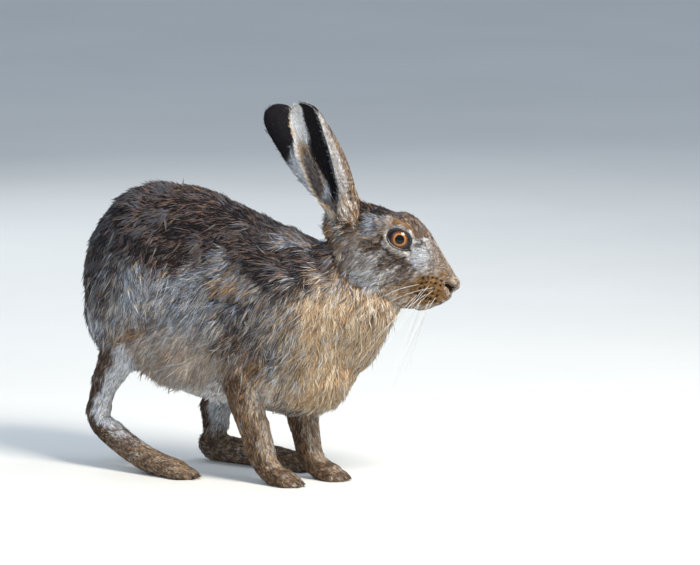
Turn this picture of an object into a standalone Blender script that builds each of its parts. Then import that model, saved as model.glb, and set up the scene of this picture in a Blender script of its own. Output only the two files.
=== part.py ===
"""A brown hare standing alert with its head turned aside, life size, parted into its named body parts.

Frame: metres, +X from tail to chest, +Y to the hare's left, +Z up. The floor is at z = 0 and the
origin lies under the middle of the animal. The tables below are written about the fore feet, and
at the end every part is moved from there to the origin.
"""

import math

import bmesh
import bpy
import numpy as np
from mathutils import Matrix, Vector

# Where the fore feet's own frame stands, seen from the origin.
FORE_FEET_X = 0.0352
FORE_FEET_Y = -0.0051

# The clearance that neighbouring parts keep, and how far apart corners are drawn together.
GAP = 0.0003
TIDY_REACHES = (2e-5, 8e-6, 3e-6, 1e-6)

# Skins: voxel size, rounds of smoothing and rough count of triangles.
TRUNK_SKIN = (0.0038, 34, 1800)
HEAD_SKIN = (0.0016, 20, 1600)

# Sides and rings of the lofted masses, and the steps of their rounded ends in degrees.
TRUNK_MESH = (32, 44)
NECK_MESH = (24, 16)
SKULL_MESH = (28, 34)
LIMB_MESH = (12, 8)
TAIL_MESH = (12, 10)
FOOT_SIDES = 12
TOE_MESH = (6, 3)
CLAW_MESH = (4, 2)
GROOVE_SIDES = 5
ROUND_END = (72, 40)
SHORT_END = (45,)
BLUNT = 0.4
DOMED = 0.9

# Colour, roughness and metallic value of each surface.
FINISHES = {
    "back_fur": ((0.22, 0.15, 0.09), 0.85, 0.0),
    "flank_fur": ((0.42, 0.33, 0.22), 0.85, 0.0),
    "chest_fur": ((0.50, 0.34, 0.19), 0.85, 0.0),
    "face_fur": ((0.34, 0.26, 0.17), 0.85, 0.0),
    "leg_fur": ((0.42, 0.28, 0.17), 0.85, 0.0),
    "tail_fur": ((0.55, 0.54, 0.52), 0.85, 0.0),
    "ear_fur": ((0.40, 0.31, 0.20), 0.80, 0.0),
    "eye": ((0.45, 0.20, 0.04), 0.08, 0.0),
}

# Trunk sections from rump to chest: x, top z, bottom z, half width, egg (above 0 is wider below).
TRUNK = [
    (-0.229, 0.214, 0.164, 0.020, 0.00),
    (-0.220, 0.236, 0.143, 0.037, 0.00),
    (-0.203, 0.262, 0.124, 0.052, 0.00),
    (-0.178, 0.283, 0.106, 0.062, 0.02),
    (-0.150, 0.291, 0.093, 0.065, 0.04),
    (-0.120, 0.292, 0.083, 0.063, 0.06),
    (-0.090, 0.288, 0.077, 0.060, 0.08),
    (-0.060, 0.279, 0.074, 0.056, 0.09),
    (-0.030, 0.268, 0.073, 0.053, 0.10),
    (0.000, 0.259, 0.072, 0.051, 0.08),
    (0.028, 0.255, 0.071, 0.050, 0.06),
    (0.052, 0.241, 0.077, 0.047, 0.05),
    (0.074, 0.210, 0.093, 0.038, 0.04),
]

# Neck and throat, from between the shoulders up to the jaw: centre x, y, z, half width, half height.
NECK = [
    (0.012, 0.000, 0.166, 0.044, 0.064),
    (0.036, 0.004, 0.170, 0.046, 0.070),
    (0.058, 0.012, 0.180, 0.041, 0.066),
    (0.077, 0.023, 0.194, 0.033, 0.055),
    (0.094, 0.034, 0.206, 0.025, 0.042),
]

# The tail hangs close behind the rump: centre x, z, half width, half depth.
TAIL = [
    (-0.208, 0.212, 0.010, 0.010),
    (-0.220, 0.196, 0.015, 0.012),
    (-0.227, 0.172, 0.018, 0.0135),
    (-0.228, 0.146, 0.017, 0.0130),
    (-0.224, 0.124, 0.012, 0.0095),
    (-0.220, 0.109, 0.005, 0.0045),
]

# Rounded masses that swell the trunk: centre, half sizes, pitch about Y in degrees. Each has a twin.
HAUNCH = ((-0.148, 0.038, 0.180), (0.062, 0.034, 0.080), 20.0)
KNEE_FUR = ((-0.106, 0.041, 0.132), (0.044, 0.025, 0.040), 30.0)
SHOULDER = ((0.014, 0.031, 0.178), (0.038, 0.021, 0.064), -14.0)

# Masses on the front of the body: centre, half sizes, pitch about Y in degrees.
BREAST = ((0.056, 0.000, 0.124), (0.044, 0.042, 0.046), 30.0)
THROAT = ((0.081, 0.024, 0.151), (0.035, 0.031, 0.043), 34.0)
NAPE = ((0.069, 0.019, 0.228), (0.027, 0.021, 0.034), 0.0)

# Legs, each from its joint in the body down: x, y, z, half width, half depth.
FORELEG = {
    "right": [
        (-0.022, -0.033, 0.128, 0.0135, 0.0200),
        (-0.023, -0.034, 0.111, 0.0155, 0.0215),
        (-0.019, -0.035, 0.090, 0.0152, 0.0195),
        (-0.011, -0.033, 0.064, 0.0138, 0.0165),
        (-0.004, -0.031, 0.042, 0.0130, 0.0150),
        (0.001, -0.030, 0.026, 0.0120, 0.0140),
    ],
    "left": [
        (-0.014, 0.031, 0.128, 0.0135, 0.0200),
        (-0.012, 0.032, 0.111, 0.0155, 0.0215),
        (-0.005, 0.032, 0.090, 0.0152, 0.0195),
        (0.004, 0.030, 0.064, 0.0138, 0.0165),
        (0.011, 0.028, 0.042, 0.0125, 0.0142),
        (0.015, 0.028, 0.026, 0.0118, 0.0132),
    ],
}
SHANK = {
    "right": [
        (-0.138, -0.046, 0.148, 0.0150, 0.0230),
        (-0.152, -0.049, 0.130, 0.0165, 0.0260),
        (-0.167, -0.052, 0.108, 0.0165, 0.0230),
        (-0.180, -0.053, 0.086, 0.0145, 0.0185),
        (-0.186, -0.052, 0.069, 0.0130, 0.0155),
        (-0.190, -0.052, 0.053, 0.0120, 0.0135),
    ],
    "left": [
        (-0.090, 0.046, 0.128, 0.0150, 0.0230),
        (-0.099, 0.049, 0.109, 0.0165, 0.0250),
        (-0.109, 0.051, 0.087, 0.0165, 0.0220),
        (-0.117, 0.052, 0.065, 0.0150, 0.0180),
        (-0.123, 0.052, 0.047, 0.0130, 0.0152),
        (-0.128, 0.052, 0.032, 0.0122, 0.0138),
    ],
}

# Feet, from heel or wrist to the roots of the toes: x, y, z, half width, half thickness.
FORE_PAW = {
    "right": [
        (-0.001, -0.030, 0.034, 0.0105, 0.0120),
        (0.004, -0.030, 0.020, 0.0115, 0.0115),
        (0.015, -0.030, 0.0105, 0.0130, 0.0100),
        (0.027, -0.030, 0.0078, 0.0140, 0.0083),
    ],
    "left": [
        (0.013, 0.028, 0.034, 0.0105, 0.0115),
        (0.018, 0.028, 0.020, 0.0115, 0.0110),
        (0.029, 0.028, 0.0105, 0.0130, 0.0100),
        (0.041, 0.028, 0.0078, 0.0140, 0.0083),
    ],
}
HIND_FOOT = {
    "right": [
        (-0.198, -0.052, 0.051, 0.0085, 0.0095),
        (-0.188, -0.052, 0.043, 0.0110, 0.0125),
        (-0.164, -0.053, 0.029, 0.0120, 0.0120),
        (-0.136, -0.054, 0.0165, 0.0130, 0.0115),
        (-0.112, -0.055, 0.0100, 0.0150, 0.0105),
        (-0.092, -0.056, 0.0080, 0.0160, 0.0088),
    ],
    "left": [
        (-0.138, 0.052, 0.019, 0.0085, 0.0100),
        (-0.129, 0.052, 0.0150, 0.0110, 0.0145),
        (-0.104, 0.052, 0.0125, 0.0120, 0.0130),
        (-0.074, 0.053, 0.0112, 0.0130, 0.0120),
        (-0.046, 0.054, 0.0098, 0.0150, 0.0105),
        (-0.024, 0.055, 0.0080, 0.0160, 0.0088),
    ],
}

# Toes: spread across the foot, how far each reaches past the last section, and their half thickness.
FORE_TOES = {"across": (-0.0098, -0.0034, 0.0034, 0.0098), "reach": (0.010, 0.016, 0.0155, 0.009)}
HIND_TOES = {"across": (-0.0112, -0.0038, 0.0038, 0.0112), "reach": (0.013, 0.021, 0.020, 0.012)}
TOE_R = 0.0054
TOE_SOLE = 0.0040
TOE_ROOT = 0.010
TOE_TAPER = 0.8
TOE_FAN = (0.85, 1.15)
CLAW_LENGTH = 0.0097
CLAW_DROP = 0.0028
CLAW_R = 0.0017
CLAW_TAPER = 0.35

# The head's own frame: the point midway between the eyes, its yaw to the left and pitch down.
HEAD_AT = (0.119, 0.0465, 0.252)
HEAD_YAW = 30.0
HEAD_PITCH = 25.0

# Head sections from occiput to nose, in the head's frame: forward, top, bottom, half width, egg.
HEAD = [
    (-0.060, 0.006, -0.034, 0.018, 0.00),
    (-0.048, 0.015, -0.048, 0.024, 0.05),
    (-0.030, 0.0195, -0.057, 0.0265, 0.08),
    (-0.012, 0.0225, -0.061, 0.0265, 0.06),
    (0.004, 0.0225, -0.062, 0.0250, 0.02),
    (0.018, 0.0180, -0.061, 0.0225, 0.00),
    (0.030, 0.0110, -0.0595, 0.0200, 0.00),
    (0.042, 0.0028, -0.0570, 0.0180, 0.00),
    (0.053, -0.0045, -0.0530, 0.0162, 0.02),
    (0.060, -0.0090, -0.0470, 0.0145, 0.04),
    (0.0645, -0.0130, -0.0385, 0.0112, 0.05),
]

# Masses of the face: centre forward, aside, up, and half sizes. Each has a twin across the middle.
CHEEK = ((-0.0150, 0.0115, -0.0345), (0.0320, 0.0180, 0.0305))
TEMPLE = ((-0.026, 0.0095, 0.002), (0.032, 0.0165, 0.017))
BROW = ((-0.002, 0.0140, 0.0065), (0.022, 0.0110, 0.0105))
ORBIT = ((0.0010, 0.0172, 0.0000), (0.0185, 0.0088, 0.0155))
LIP_PAD = ((0.0515, 0.0090, -0.0330), (0.0165, 0.0110, 0.0145))
NOSE_WING = ((0.0655, 0.0035, -0.0200), (0.0062, 0.0062, 0.0068))
CHIN = ((0.045, 0.0025, -0.0500), (0.0130, 0.0085, 0.0065))

# Eyes: centre in the head's frame, half sizes, and how far each looks forward and up in degrees.
EYE_AT = (0.000, 0.0165, 0.000)
EYE_HALF = (0.0152, 0.0124, 0.0136)
EYE_FORWARD = 10.0
EYE_UP = 5.0
LID_HALF_LENGTH = 0.0134
LID_HALF_HEIGHT = 0.0104
LID_R = 0.0019
LID_STEPS = 22
LID_SIDES = 6
EYE_SEGMENTS = 16
LID_SEAT = 0.0070
LID_CORNER_DROP = 0.0034
PIT_FLOOR = 0.0040
PIT_TOP = 0.0300

# Creases of the face, each a path in the head's frame that is laid on the skin, and their radii.
MOUTH = [
    (0.0400, 0.0180, -0.0485),
    (0.0520, 0.0170, -0.0470),
    (0.0620, 0.0120, -0.0450),
    (0.0670, 0.0000, -0.0430),
]
MOUTH_R = 0.0010
LIP_CLEFT = [
    (0.0700, 0.0000, -0.0270),
    (0.0710, 0.0000, -0.0340),
    (0.0690, 0.0000, -0.0420),
]
LIP_CLEFT_R = 0.0008
NOSTRIL = [
    (0.0700, 0.0040, -0.0250),
    (0.0700, 0.0065, -0.0225),
    (0.0660, 0.0085, -0.0190),
]
NOSTRIL_R = 0.0012

# Ears: root in the head's frame, and for each its lean back, its splay, and how far the cup
# turns from the side towards the back, in degrees.
EAR_LENGTH = {"right": 0.1260, "left": 0.1350}
EAR_ROOT = {"right": (-0.0575, -0.0140, -0.0050), "left": (-0.0595, 0.0140, -0.0030)}
EAR_POSE = {"right": (22.0, 7.0, 22.0), "left": (40.5, 11.0, 20.0)}
# Along the ear: share of its length, half width, cup depth, and the arc from the middle of the
# ear's back round to its rear rim and to its front rim, in degrees.
EAR = [
    (0.00, 0.0150, 0.0135, 165.0, 168.0),
    (0.10, 0.0178, 0.0145, 142.0, 158.0),
    (0.24, 0.0222, 0.0160, 112.0, 148.0),
    (0.40, 0.0248, 0.0168, 95.0, 140.0),
    (0.56, 0.0248, 0.0162, 90.0, 132.0),
    (0.70, 0.0226, 0.0148, 86.0, 122.0),
    (0.83, 0.0192, 0.0122, 82.0, 110.0),
    (0.93, 0.0148, 0.0086, 78.0, 95.0),
    (1.00, 0.0062, 0.0038, 75.0, 80.0),
]
EAR_THICK = 0.0028
EAR_RIM = 0.0014
EAR_FLOOR = 0.6
EAR_STUMP = (0.0144, 0.0112, 0.0152)
EAR_STUMP_DEPTH = 0.008
STUMP_SEGMENTS = 14
EAR_ROWS = 18
EAR_COLUMNS = 10

# Where the trunk is parted: thighs and upper arms by oval prisms that reach in from the side, each
# a centre, half sizes and pitch in degrees, and the rest by planes.
THIGH_CUT = ((-0.143, 0.168), (0.070, 0.084), 20.0)
UPPER_ARM_CUT = ((-0.004, 0.152), (0.040, 0.068), -12.0)
CUT_FROM_Y = 0.010
CUT_SIDES = 26
NECK_PLANE = ((0.050, 0.006, 0.190), (0.80, 0.30, 0.52))
RUMP_X = -0.150
BARREL_X = -0.050
REACH = 0.5

MATERIAL_OF = {
    "head": "face_fur",
    "neck": "chest_fur",
    "chest": "chest_fur",
    "barrel": "flank_fur",
    "rump": "back_fur",
    "tail": "tail_fur",
    "ear": "ear_fur",
    "eye": "eye",
    "upper_arm": "flank_fur",
    "forearm": "leg_fur",
    "fore_paw": "leg_fur",
    "thigh": "flank_fur",
    "shank": "leg_fur",
    "hind_foot": "leg_fur",
}


def clear_scene():
    """Removes whatever the file holds."""
    for obj in list(bpy.data.objects):
        bpy.data.objects.remove(obj)


def make_materials():
    """One Principled material for each finish."""
    made = {}
    for name, (colour, roughness, metallic) in FINISHES.items():
        material = bpy.data.materials.new(name)
        material.use_nodes = True
        shader = material.node_tree.nodes["Principled BSDF"]
        shader.inputs["Base Color"].default_value = (*colour, 1.0)
        shader.inputs["Roughness"].default_value = roughness
        shader.inputs["Metallic"].default_value = metallic
        made[name] = material
    return made


def object_from(name, bm):
    """Links a new object that holds bm's mesh, with its faces pointing out."""
    bmesh.ops.recalc_face_normals(bm, faces=bm.faces)
    mesh = bpy.data.meshes.new(name)
    bm.to_mesh(mesh)
    bm.free()
    obj = bpy.data.objects.new(name, mesh)
    bpy.context.scene.collection.objects.link(obj)
    return obj


def smooth_curve(rows, count):
    """count rows read at even steps from a Catmull-Rom curve through the given rows."""
    rows = np.array(rows, float)
    ends = np.vstack([2 * rows[0] - rows[1], rows, 2 * rows[-1] - rows[-2]])
    read = []
    for t in np.linspace(0, len(rows) - 1, count):
        i = min(int(t), len(rows) - 2)
        u = t - i
        a, b, c, d = ends[i : i + 4]
        bend = (2 * a - 5 * b + 4 * c - d) * u**2
        twist = (3 * b - a - 3 * c + d) * u**3
        read.append(0.5 * (2 * b + (c - a) * u + bend + twist))
    return np.array(read)


def upright(sections):
    """Stations on the middle plane, from rows of x, top, bottom, half width and egg."""
    return [
        (x, 0, (top + bottom) / 2, wide, (top - bottom) / 2, egg)
        for x, top, bottom, wide, egg in sections
    ]


def loft(name, stations, grid, facing=None, cap=0.6, steps=ROUND_END):
    """A closed tube with rounded ends through stations of (x, y, z, half width, half height, egg).

    grid is its sides and rings. The rings stand across the path, or all face along facing if that
    is given. cap is how far an end bulges, as a share of its smaller half size.
    """
    sides, rings = grid
    rows = smooth_curve(stations, rings)
    tangents = np.gradient(rows[:, :3], axis=0)
    tangents /= np.linalg.norm(tangents, axis=1)[:, None]
    if facing:
        tangents[:] = facing
    bm = bmesh.new()

    def ring(row, tangent, shift, scale):
        along = Vector(tangent)
        side = Vector((0, 1, 0)) - along.y * along
        side.normalize()
        up = along.cross(side)
        egg = row[5] if len(row) > 5 else 0.0
        verts = []
        for k in range(sides):
            angle = 2 * math.pi * (k + 0.5) / sides
            wide = row[3] * scale * math.cos(angle) * (1 - egg * math.sin(angle))
            high = row[4] * scale * math.sin(angle)
            verts.append(bm.verts.new(Vector(row[:3]) + along * shift + side * wide + up * high))
        return verts

    def rounded(row, tangent, sign):
        depth = sign * cap * min(row[3], row[4])
        turns = [math.radians(step) for step in steps]
        return [
            ring(row, tangent, depth * math.sin(turn), math.cos(turn)) for turn in turns
        ]

    loops = rounded(rows[0], tangents[0], -1)
    loops += [ring(row, tangent, 0, 1) for row, tangent in zip(rows, tangents)]
    loops += rounded(rows[-1], tangents[-1], 1)[::-1]
    close_loops(bm, loops)
    return object_from(name, bm)


def close_loops(bm, loops):
    """Skins a row of vertex loops and closes both ends with a fan."""
    sides = len(loops[0])
    for low, high in zip(loops, loops[1:]):
        for k in range(sides):
            bm.faces.new((low[k], low[(k + 1) % sides], high[(k + 1) % sides], high[k]))
    for loop in (loops[0], loops[-1]):
        tip = bm.verts.new(sum((v.co for v in loop), Vector()) / sides)
        for k in range(sides):
            bm.faces.new((loop[k], loop[(k + 1) % sides], tip))


def ellipsoid(name, centre, half_sizes, turn=None, segments=24):
    """A closed ellipsoid. turn is a rotation matrix about its centre."""
    bm = bmesh.new()
    place = Matrix.Translation(Vector(centre)) @ (turn or Matrix.Identity(3)).to_4x4()
    place = place @ Matrix.Diagonal((*half_sizes, 1.0))
    bmesh.ops.create_uvsphere(bm, u_segments=segments, v_segments=segments // 2, radius=1.0, matrix=place)
    return object_from(name, bm)


def drop(*objects):
    for obj in objects:
        bpy.data.objects.remove(obj)


def apply_modifiers(obj):
    """Puts the evaluated mesh in place of the object's own, and clears its modifiers."""
    graph = bpy.context.evaluated_depsgraph_get()
    mesh = bpy.data.meshes.new_from_object(obj.evaluated_get(graph))
    obj.modifiers.clear()
    obj.data = mesh
    return obj


def join(name, objects):
    """One object that holds the meshes of all of these, which are removed."""
    bm = bmesh.new()
    for obj in objects:
        bm.from_mesh(obj.data)
    drop(*objects)
    return object_from(name, bm)


def fuse(obj, voxel, smoothing, triangles):
    """Remeshes overlapping shells into one skin, smooths it, and thins it to about that many triangles."""
    remesh = obj.modifiers.new("fuse", "REMESH")
    remesh.mode = "VOXEL"
    remesh.voxel_size = voxel
    smooth = obj.modifiers.new("smooth", "SMOOTH")
    smooth.factor = 0.5
    smooth.iterations = smoothing
    apply_modifiers(obj)
    faces = 2 * len(obj.data.polygons)
    thin = obj.modifiers.new("thin", "DECIMATE")
    thin.ratio = min(1.0, triangles / faces)
    thin.use_collapse_triangulate = True
    return keep_largest(apply_modifiers(obj))


def keep_largest(obj):
    """Leaves only the closed surface that holds the most volume."""
    bm = bmesh.new()
    bm.from_mesh(obj.data)
    bmesh.ops.triangulate(bm, faces=bm.faces)
    left = set(bm.verts)
    shells = []
    while left:
        shell, front = set(), [left.pop()]
        while front:
            vert = front.pop()
            shell.add(vert)
            for edge in vert.link_edges:
                other = edge.other_vert(vert)
                if other in left:
                    left.remove(other)
                    front.append(other)
        shells.append(shell)

    def volume(shell):
        faces = {face for vert in shell for face in vert.link_faces}
        corners = [[v.co for v in face.verts] for face in faces]
        return abs(sum(a.dot(b.cross(c)) for a, b, c in corners)) / 6

    shells.sort(key=volume)
    scraps = [vert for shell in shells[:-1] for vert in shell]
    bmesh.ops.delete(bm, geom=scraps, context="VERTS")
    bm.to_mesh(obj.data)
    bm.free()
    return obj


def boolean(obj, other, operation, solver="EXACT"):
    """Joins other to obj or cuts it away, and applies the result. other is kept."""
    cut = obj.modifiers.new(operation, "BOOLEAN")
    cut.operation = operation
    cut.solver = solver
    cut.object = other
    return apply_modifiers(obj)


def copy_of(obj, name):
    twin = bpy.data.objects.new(name, obj.data.copy())
    bpy.context.scene.collection.objects.link(twin)
    return twin


def grown(obj, distance):
    """A copy whose surface lies that far outside the object's own."""
    twin = copy_of(obj, obj.name + "_grown")
    bm = bmesh.new()
    bm.from_mesh(twin.data)
    bm.normal_update()
    moves = [
        vert.normal * distance * max(1.0, vert.calc_shell_factor()) for vert in bm.verts
    ]
    for vert, move in zip(bm.verts, moves):
        vert.co += move
    bm.to_mesh(twin.data)
    bm.free()
    return twin


def seat(obj, inserts, solver="EXACT"):
    """Cuts each insert's shape, with the clearance, out of obj."""
    for insert in inserts:
        cutter = grown(insert, GAP)
        boolean(obj, cutter, "DIFFERENCE", solver)
        drop(cutter)
        keep_largest(obj)


def part_off(whole, name, cutter_of):
    """Takes the piece inside a cutter off the whole. cutter_of(growth) makes the cutter."""
    piece = copy_of(whole, name)
    cutter = cutter_of(0.0)
    boolean(piece, cutter, "INTERSECT")
    drop(cutter)
    cutter = cutter_of(GAP)
    boolean(whole, cutter, "DIFFERENCE")
    drop(cutter)
    return keep_largest(piece)


def mirrored(centre, sign):
    return (centre[0], sign * centre[1], centre[2])


def pitch(degrees):
    return Matrix.Rotation(math.radians(degrees), 3, "Y")


def head_matrix():
    """From the head's frame to the body's: forward along the nose line, left, and up from the face."""
    yaw = Matrix.Rotation(math.radians(HEAD_YAW), 4, "Z")
    down = Matrix.Rotation(math.radians(HEAD_PITCH), 4, "Y")
    return Matrix.Translation(Vector(HEAD_AT)) @ yaw @ down


def place_in_head(obj):
    obj.data.transform(head_matrix())
    return obj


def half_space(point, normal, growth):
    """A large box on the side of the plane that the normal points to."""
    normal = Vector(normal).normalized()
    place = Matrix.Translation(Vector(point) + normal * (REACH - growth))
    place = place @ normal.to_track_quat("Z", "Y").to_matrix().to_4x4()
    bm = bmesh.new()
    bmesh.ops.create_cube(bm, size=2 * REACH, matrix=place)
    return object_from("half_space", bm)


def make_trunk():
    """Trunk, neck, haunches and shoulders as one smooth skin."""
    masses = [
        loft("trunk", upright(TRUNK), TRUNK_MESH, facing=(1, 0, 0), cap=BLUNT),
        loft("neck_mass", NECK, NECK_MESH),
    ]
    for sign in (-1, 1):
        for centre, half_sizes, tilt in (HAUNCH, KNEE_FUR, SHOULDER):
            masses.append(ellipsoid("mass", mirrored(centre, sign), half_sizes, pitch(tilt)))
    for centre, half_sizes, tilt in (BREAST, THROAT, NAPE):
        masses.append(ellipsoid("mass", centre, half_sizes, pitch(tilt)))
    return fuse(join("chest", masses), *TRUNK_SKIN)


def eye_turn(sign):
    """The eye's rotation in the head's frame. Its own +Y looks out of the head for sign 1."""
    forward = Matrix.Rotation(math.radians(-sign * EYE_FORWARD), 3, "Z")
    return forward @ Matrix.Rotation(math.radians(sign * EYE_UP), 3, "X")


def lid_outline():
    """Angles and points forward and up round the eye's opening, its front corner drawn down."""
    for k in range(LID_STEPS):
        angle = 2 * math.pi * k / LID_STEPS
        lower = LID_CORNER_DROP * max(0.0, math.cos(angle)) ** 3
        yield angle, LID_HALF_LENGTH * math.cos(angle), LID_HALF_HEIGHT * math.sin(angle) - lower


def make_pit(sign):
    """A prism over the eyeball that clears the skin from the opening between the lids."""
    turn = eye_turn(sign)
    bm = bmesh.new()
    loops = []
    for depth in (PIT_FLOOR, PIT_TOP):
        corners = [turn @ Vector((x, sign * depth, z)) for _, x, z in lid_outline()]
        loops.append([bm.verts.new(corner + Vector(mirrored(EYE_AT, sign))) for corner in corners])
    close_loops(bm, loops)
    return object_from("pit", bm)


def make_lids(sign):
    """A ridge round the eye's opening that rests on the eyeball."""
    turn = eye_turn(sign)
    loops = []
    bm = bmesh.new()
    for angle, x, z in lid_outline():
        inside = 1 - (x / EYE_HALF[0]) ** 2 - (z / EYE_HALF[2]) ** 2
        y = max(LID_SEAT, EYE_HALF[1] * math.sqrt(max(0.0, inside)))
        middle = Vector((x, sign * y, z))
        out = Vector((math.cos(angle), 0, math.sin(angle)))
        lift = Vector((0, sign, 0))
        ring = []
        for n in range(LID_SIDES):
            around = 2 * math.pi * n / LID_SIDES
            point = middle + (out * math.cos(around) + lift * math.sin(around)) * LID_R
            ring.append(bm.verts.new(turn @ point + Vector(mirrored(EYE_AT, sign))))
        loops.append(ring)
    for k in range(LID_STEPS):
        low, high = loops[k], loops[(k + 1) % LID_STEPS]
        for n in range(LID_SIDES):
            after = (n + 1) % LID_SIDES
            bm.faces.new((low[n], low[after], high[after], high[n]))
    return object_from("lids", bm)


def make_head():
    """The head with its lids, still without sockets, nostrils and mouth."""
    masses = [loft("skull", upright(HEAD), SKULL_MESH, facing=(1, 0, 0), cap=DOMED)]
    for sign in (-1, 1):
        for centre, half_sizes in (CHEEK, TEMPLE, BROW, ORBIT, LIP_PAD, NOSE_WING, CHIN):
            masses.append(ellipsoid("mass", mirrored(centre, sign), half_sizes))
    head = fuse(join("head", masses), *HEAD_SKIN)
    for sign in (-1, 1):
        pit, lids = make_pit(sign), make_lids(sign)
        boolean(head, pit, "DIFFERENCE", "MANIFOLD")
        boolean(head, lids, "UNION", "MANIFOLD")
        drop(pit, lids)
    return head


def crease(head, path, radius):
    """Cuts a groove of that radius where the path lies on the head's skin."""
    rows = smooth_curve(path, 3 * len(path))
    laid = [
        (*head.closest_point_on_mesh(Vector(row))[1], radius, radius) for row in rows
    ]
    groove = loft("groove", laid, (GROOVE_SIDES, len(laid)), steps=SHORT_END)
    boolean(head, groove, "DIFFERENCE", "MANIFOLD")
    drop(groove)


def make_ear(side):
    """A cupped ear with a thin rim and a solid stump, in the body's frame."""
    sign = 1 if side == "left" else -1
    lean, splay, turn = (math.radians(value) for value in EAR_POSE[side])
    yaw = Matrix.Rotation(math.radians(HEAD_YAW), 3, "Z")
    axis = Vector(
        (
            -math.sin(lean) * math.cos(splay),
            sign * math.sin(splay),
            math.cos(lean) * math.cos(splay),
        )
    )
    outward = Vector((0, sign, 0))
    outward = (outward - outward.dot(axis) * axis).normalized()
    forward = axis.cross(outward) * -sign
    opening = outward * math.cos(turn) - forward * math.sin(turn)
    front = forward * math.cos(turn) + outward * math.sin(turn)
    root = head_matrix() @ Vector(EAR_ROOT[side])
    bm = bmesh.new()
    outer, inner = [], []
    for share, wide, deep, rear_arc, front_arc in smooth_curve(EAR, EAR_ROWS):
        middle = axis * share * EAR_LENGTH[side]
        outer_row, inner_row = [], []
        for k in range(EAR_COLUMNS + 1):
            u = k / EAR_COLUMNS
            angle = math.radians(-rear_arc + (rear_arc + front_arc) * u)
            thick = EAR_RIM + (EAR_THICK - EAR_RIM) * math.sin(math.pi * u)
            thick = min(thick, EAR_FLOOR * deep)
            for row, inset in ((outer_row, 0.0), (inner_row, thick)):
                across = front * (wide - inset) * math.sin(angle)
                back = -opening * (deep - inset) * math.cos(angle)
                row.append(bm.verts.new(root + yaw @ (middle + across + back)))
        outer.append(outer_row)
        inner.append(inner_row[::-1])
    loops = [near + far for near, far in zip(outer, inner)]
    sides = len(loops[0])
    for low, high in zip(loops, loops[1:]):
        for k in range(sides):
            bm.faces.new((low[k], low[(k + 1) % sides], high[(k + 1) % sides], high[k]))
    for loop in (loops[0], loops[-1]):
        for k in range(EAR_COLUMNS):
            bm.faces.new((loop[k], loop[k + 1], loop[sides - 2 - k], loop[sides - 1 - k]))
    ear = object_from("ear_" + side, bm)
    stand = Matrix((front, opening, axis)).transposed()
    seat_at = root - yaw @ axis * EAR_STUMP_DEPTH
    stump = ellipsoid("stump", seat_at, EAR_STUMP, yaw @ stand, STUMP_SEGMENTS)
    boolean(ear, stump, "UNION")
    drop(stump)
    return keep_largest(ear)


def make_eye(side):
    sign = 1 if side == "left" else -1
    centre = mirrored(EYE_AT, sign)
    eye = ellipsoid("eye_" + side, centre, EYE_HALF, eye_turn(sign), EYE_SEGMENTS)
    return place_in_head(eye)


def make_tail():
    rows = [(x, 0, z, wide, deep) for x, z, wide, deep in TAIL]
    return loft("tail", rows, TAIL_MESH, cap=DOMED)


def make_foot(name, stations, toes):
    """A foot with its toes and claws, flattened where it stands on the floor."""
    foot = loft(name, stations, (FOOT_SIDES, len(stations) + 3), cap=DOMED)
    end = Vector(stations[-1][:3])
    pieces = []
    for across, reach in zip(toes["across"], toes["reach"]):
        root = end + Vector((-TOE_ROOT, across * TOE_FAN[0], 0))
        tip = end + Vector((reach, across * TOE_FAN[1], TOE_SOLE - end.z))
        rows = [
            (*root, TOE_R * TOE_TAPER, TOE_R * TOE_TAPER),
            (*root.lerp(tip, 0.6), TOE_R, TOE_R),
            (*tip, TOE_R * TOE_TAPER, TOE_R * TOE_TAPER),
        ]
        pieces.append(loft("toe", rows, TOE_MESH, cap=DOMED, steps=SHORT_END))
        claw_end = tip + Vector((CLAW_LENGTH, 0, -CLAW_DROP))
        fine = CLAW_R * CLAW_TAPER
        rows = [(*tip, CLAW_R, CLAW_R), (*claw_end, fine, fine)]
        pieces.append(loft("claw", rows, CLAW_MESH, steps=SHORT_END))
    for piece in pieces:
        boolean(foot, piece, "UNION")
    drop(*pieces)
    floor = half_space((0, 0, 0), (0, 0, -1), 0.0)
    boolean(foot, floor, "DIFFERENCE")
    drop(floor)
    return keep_largest(foot)


def tidy(obj):
    """Closes up the hair-thin faces that the cuts leave, as far as the mesh stays closed."""
    for reach in TIDY_REACHES:
        bm = bmesh.new()
        bm.from_mesh(obj.data)
        bmesh.ops.remove_doubles(bm, verts=bm.verts, dist=reach)
        bmesh.ops.dissolve_degenerate(bm, dist=reach, edges=bm.edges)
        bmesh.ops.triangulate(bm, faces=bm.faces)
        bmesh.ops.recalc_face_normals(bm, faces=bm.faces)
        closed = all(len(edge.link_faces) == 2 for edge in bm.edges)
        if closed:
            bm.to_mesh(obj.data)
        bm.free()
        if closed:
            return


def oval_prism(shape, sign, growth):
    """An oval prism that reaches in from one side of the trunk."""
    (x, z), (half_x, half_z), tilt = shape
    lie = Matrix.Rotation(math.radians(90), 4, "X")
    size = Matrix.Diagonal((half_x + growth, 1.0, half_z + growth, 1.0))
    middle = Vector((x, sign * (REACH + CUT_FROM_Y - growth), z))
    place = Matrix.Translation(middle) @ pitch(tilt).to_4x4() @ size @ lie
    bm = bmesh.new()
    bmesh.ops.create_cone(
        bm,
        cap_ends=True,
        segments=CUT_SIDES,
        radius1=1.0,
        radius2=1.0,
        depth=2 * REACH,
        matrix=place,
    )
    return object_from("cutter", bm)


def oval_cut(shape, sign):
    """An oval cutter that part_off can grow."""
    return lambda growth: oval_prism(shape, sign, growth)


def behind(x):
    """A cutter of all that lies behind x, which part_off can grow."""
    return lambda growth: half_space((x, 0, 0), (-1, 0, 0), growth)


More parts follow.
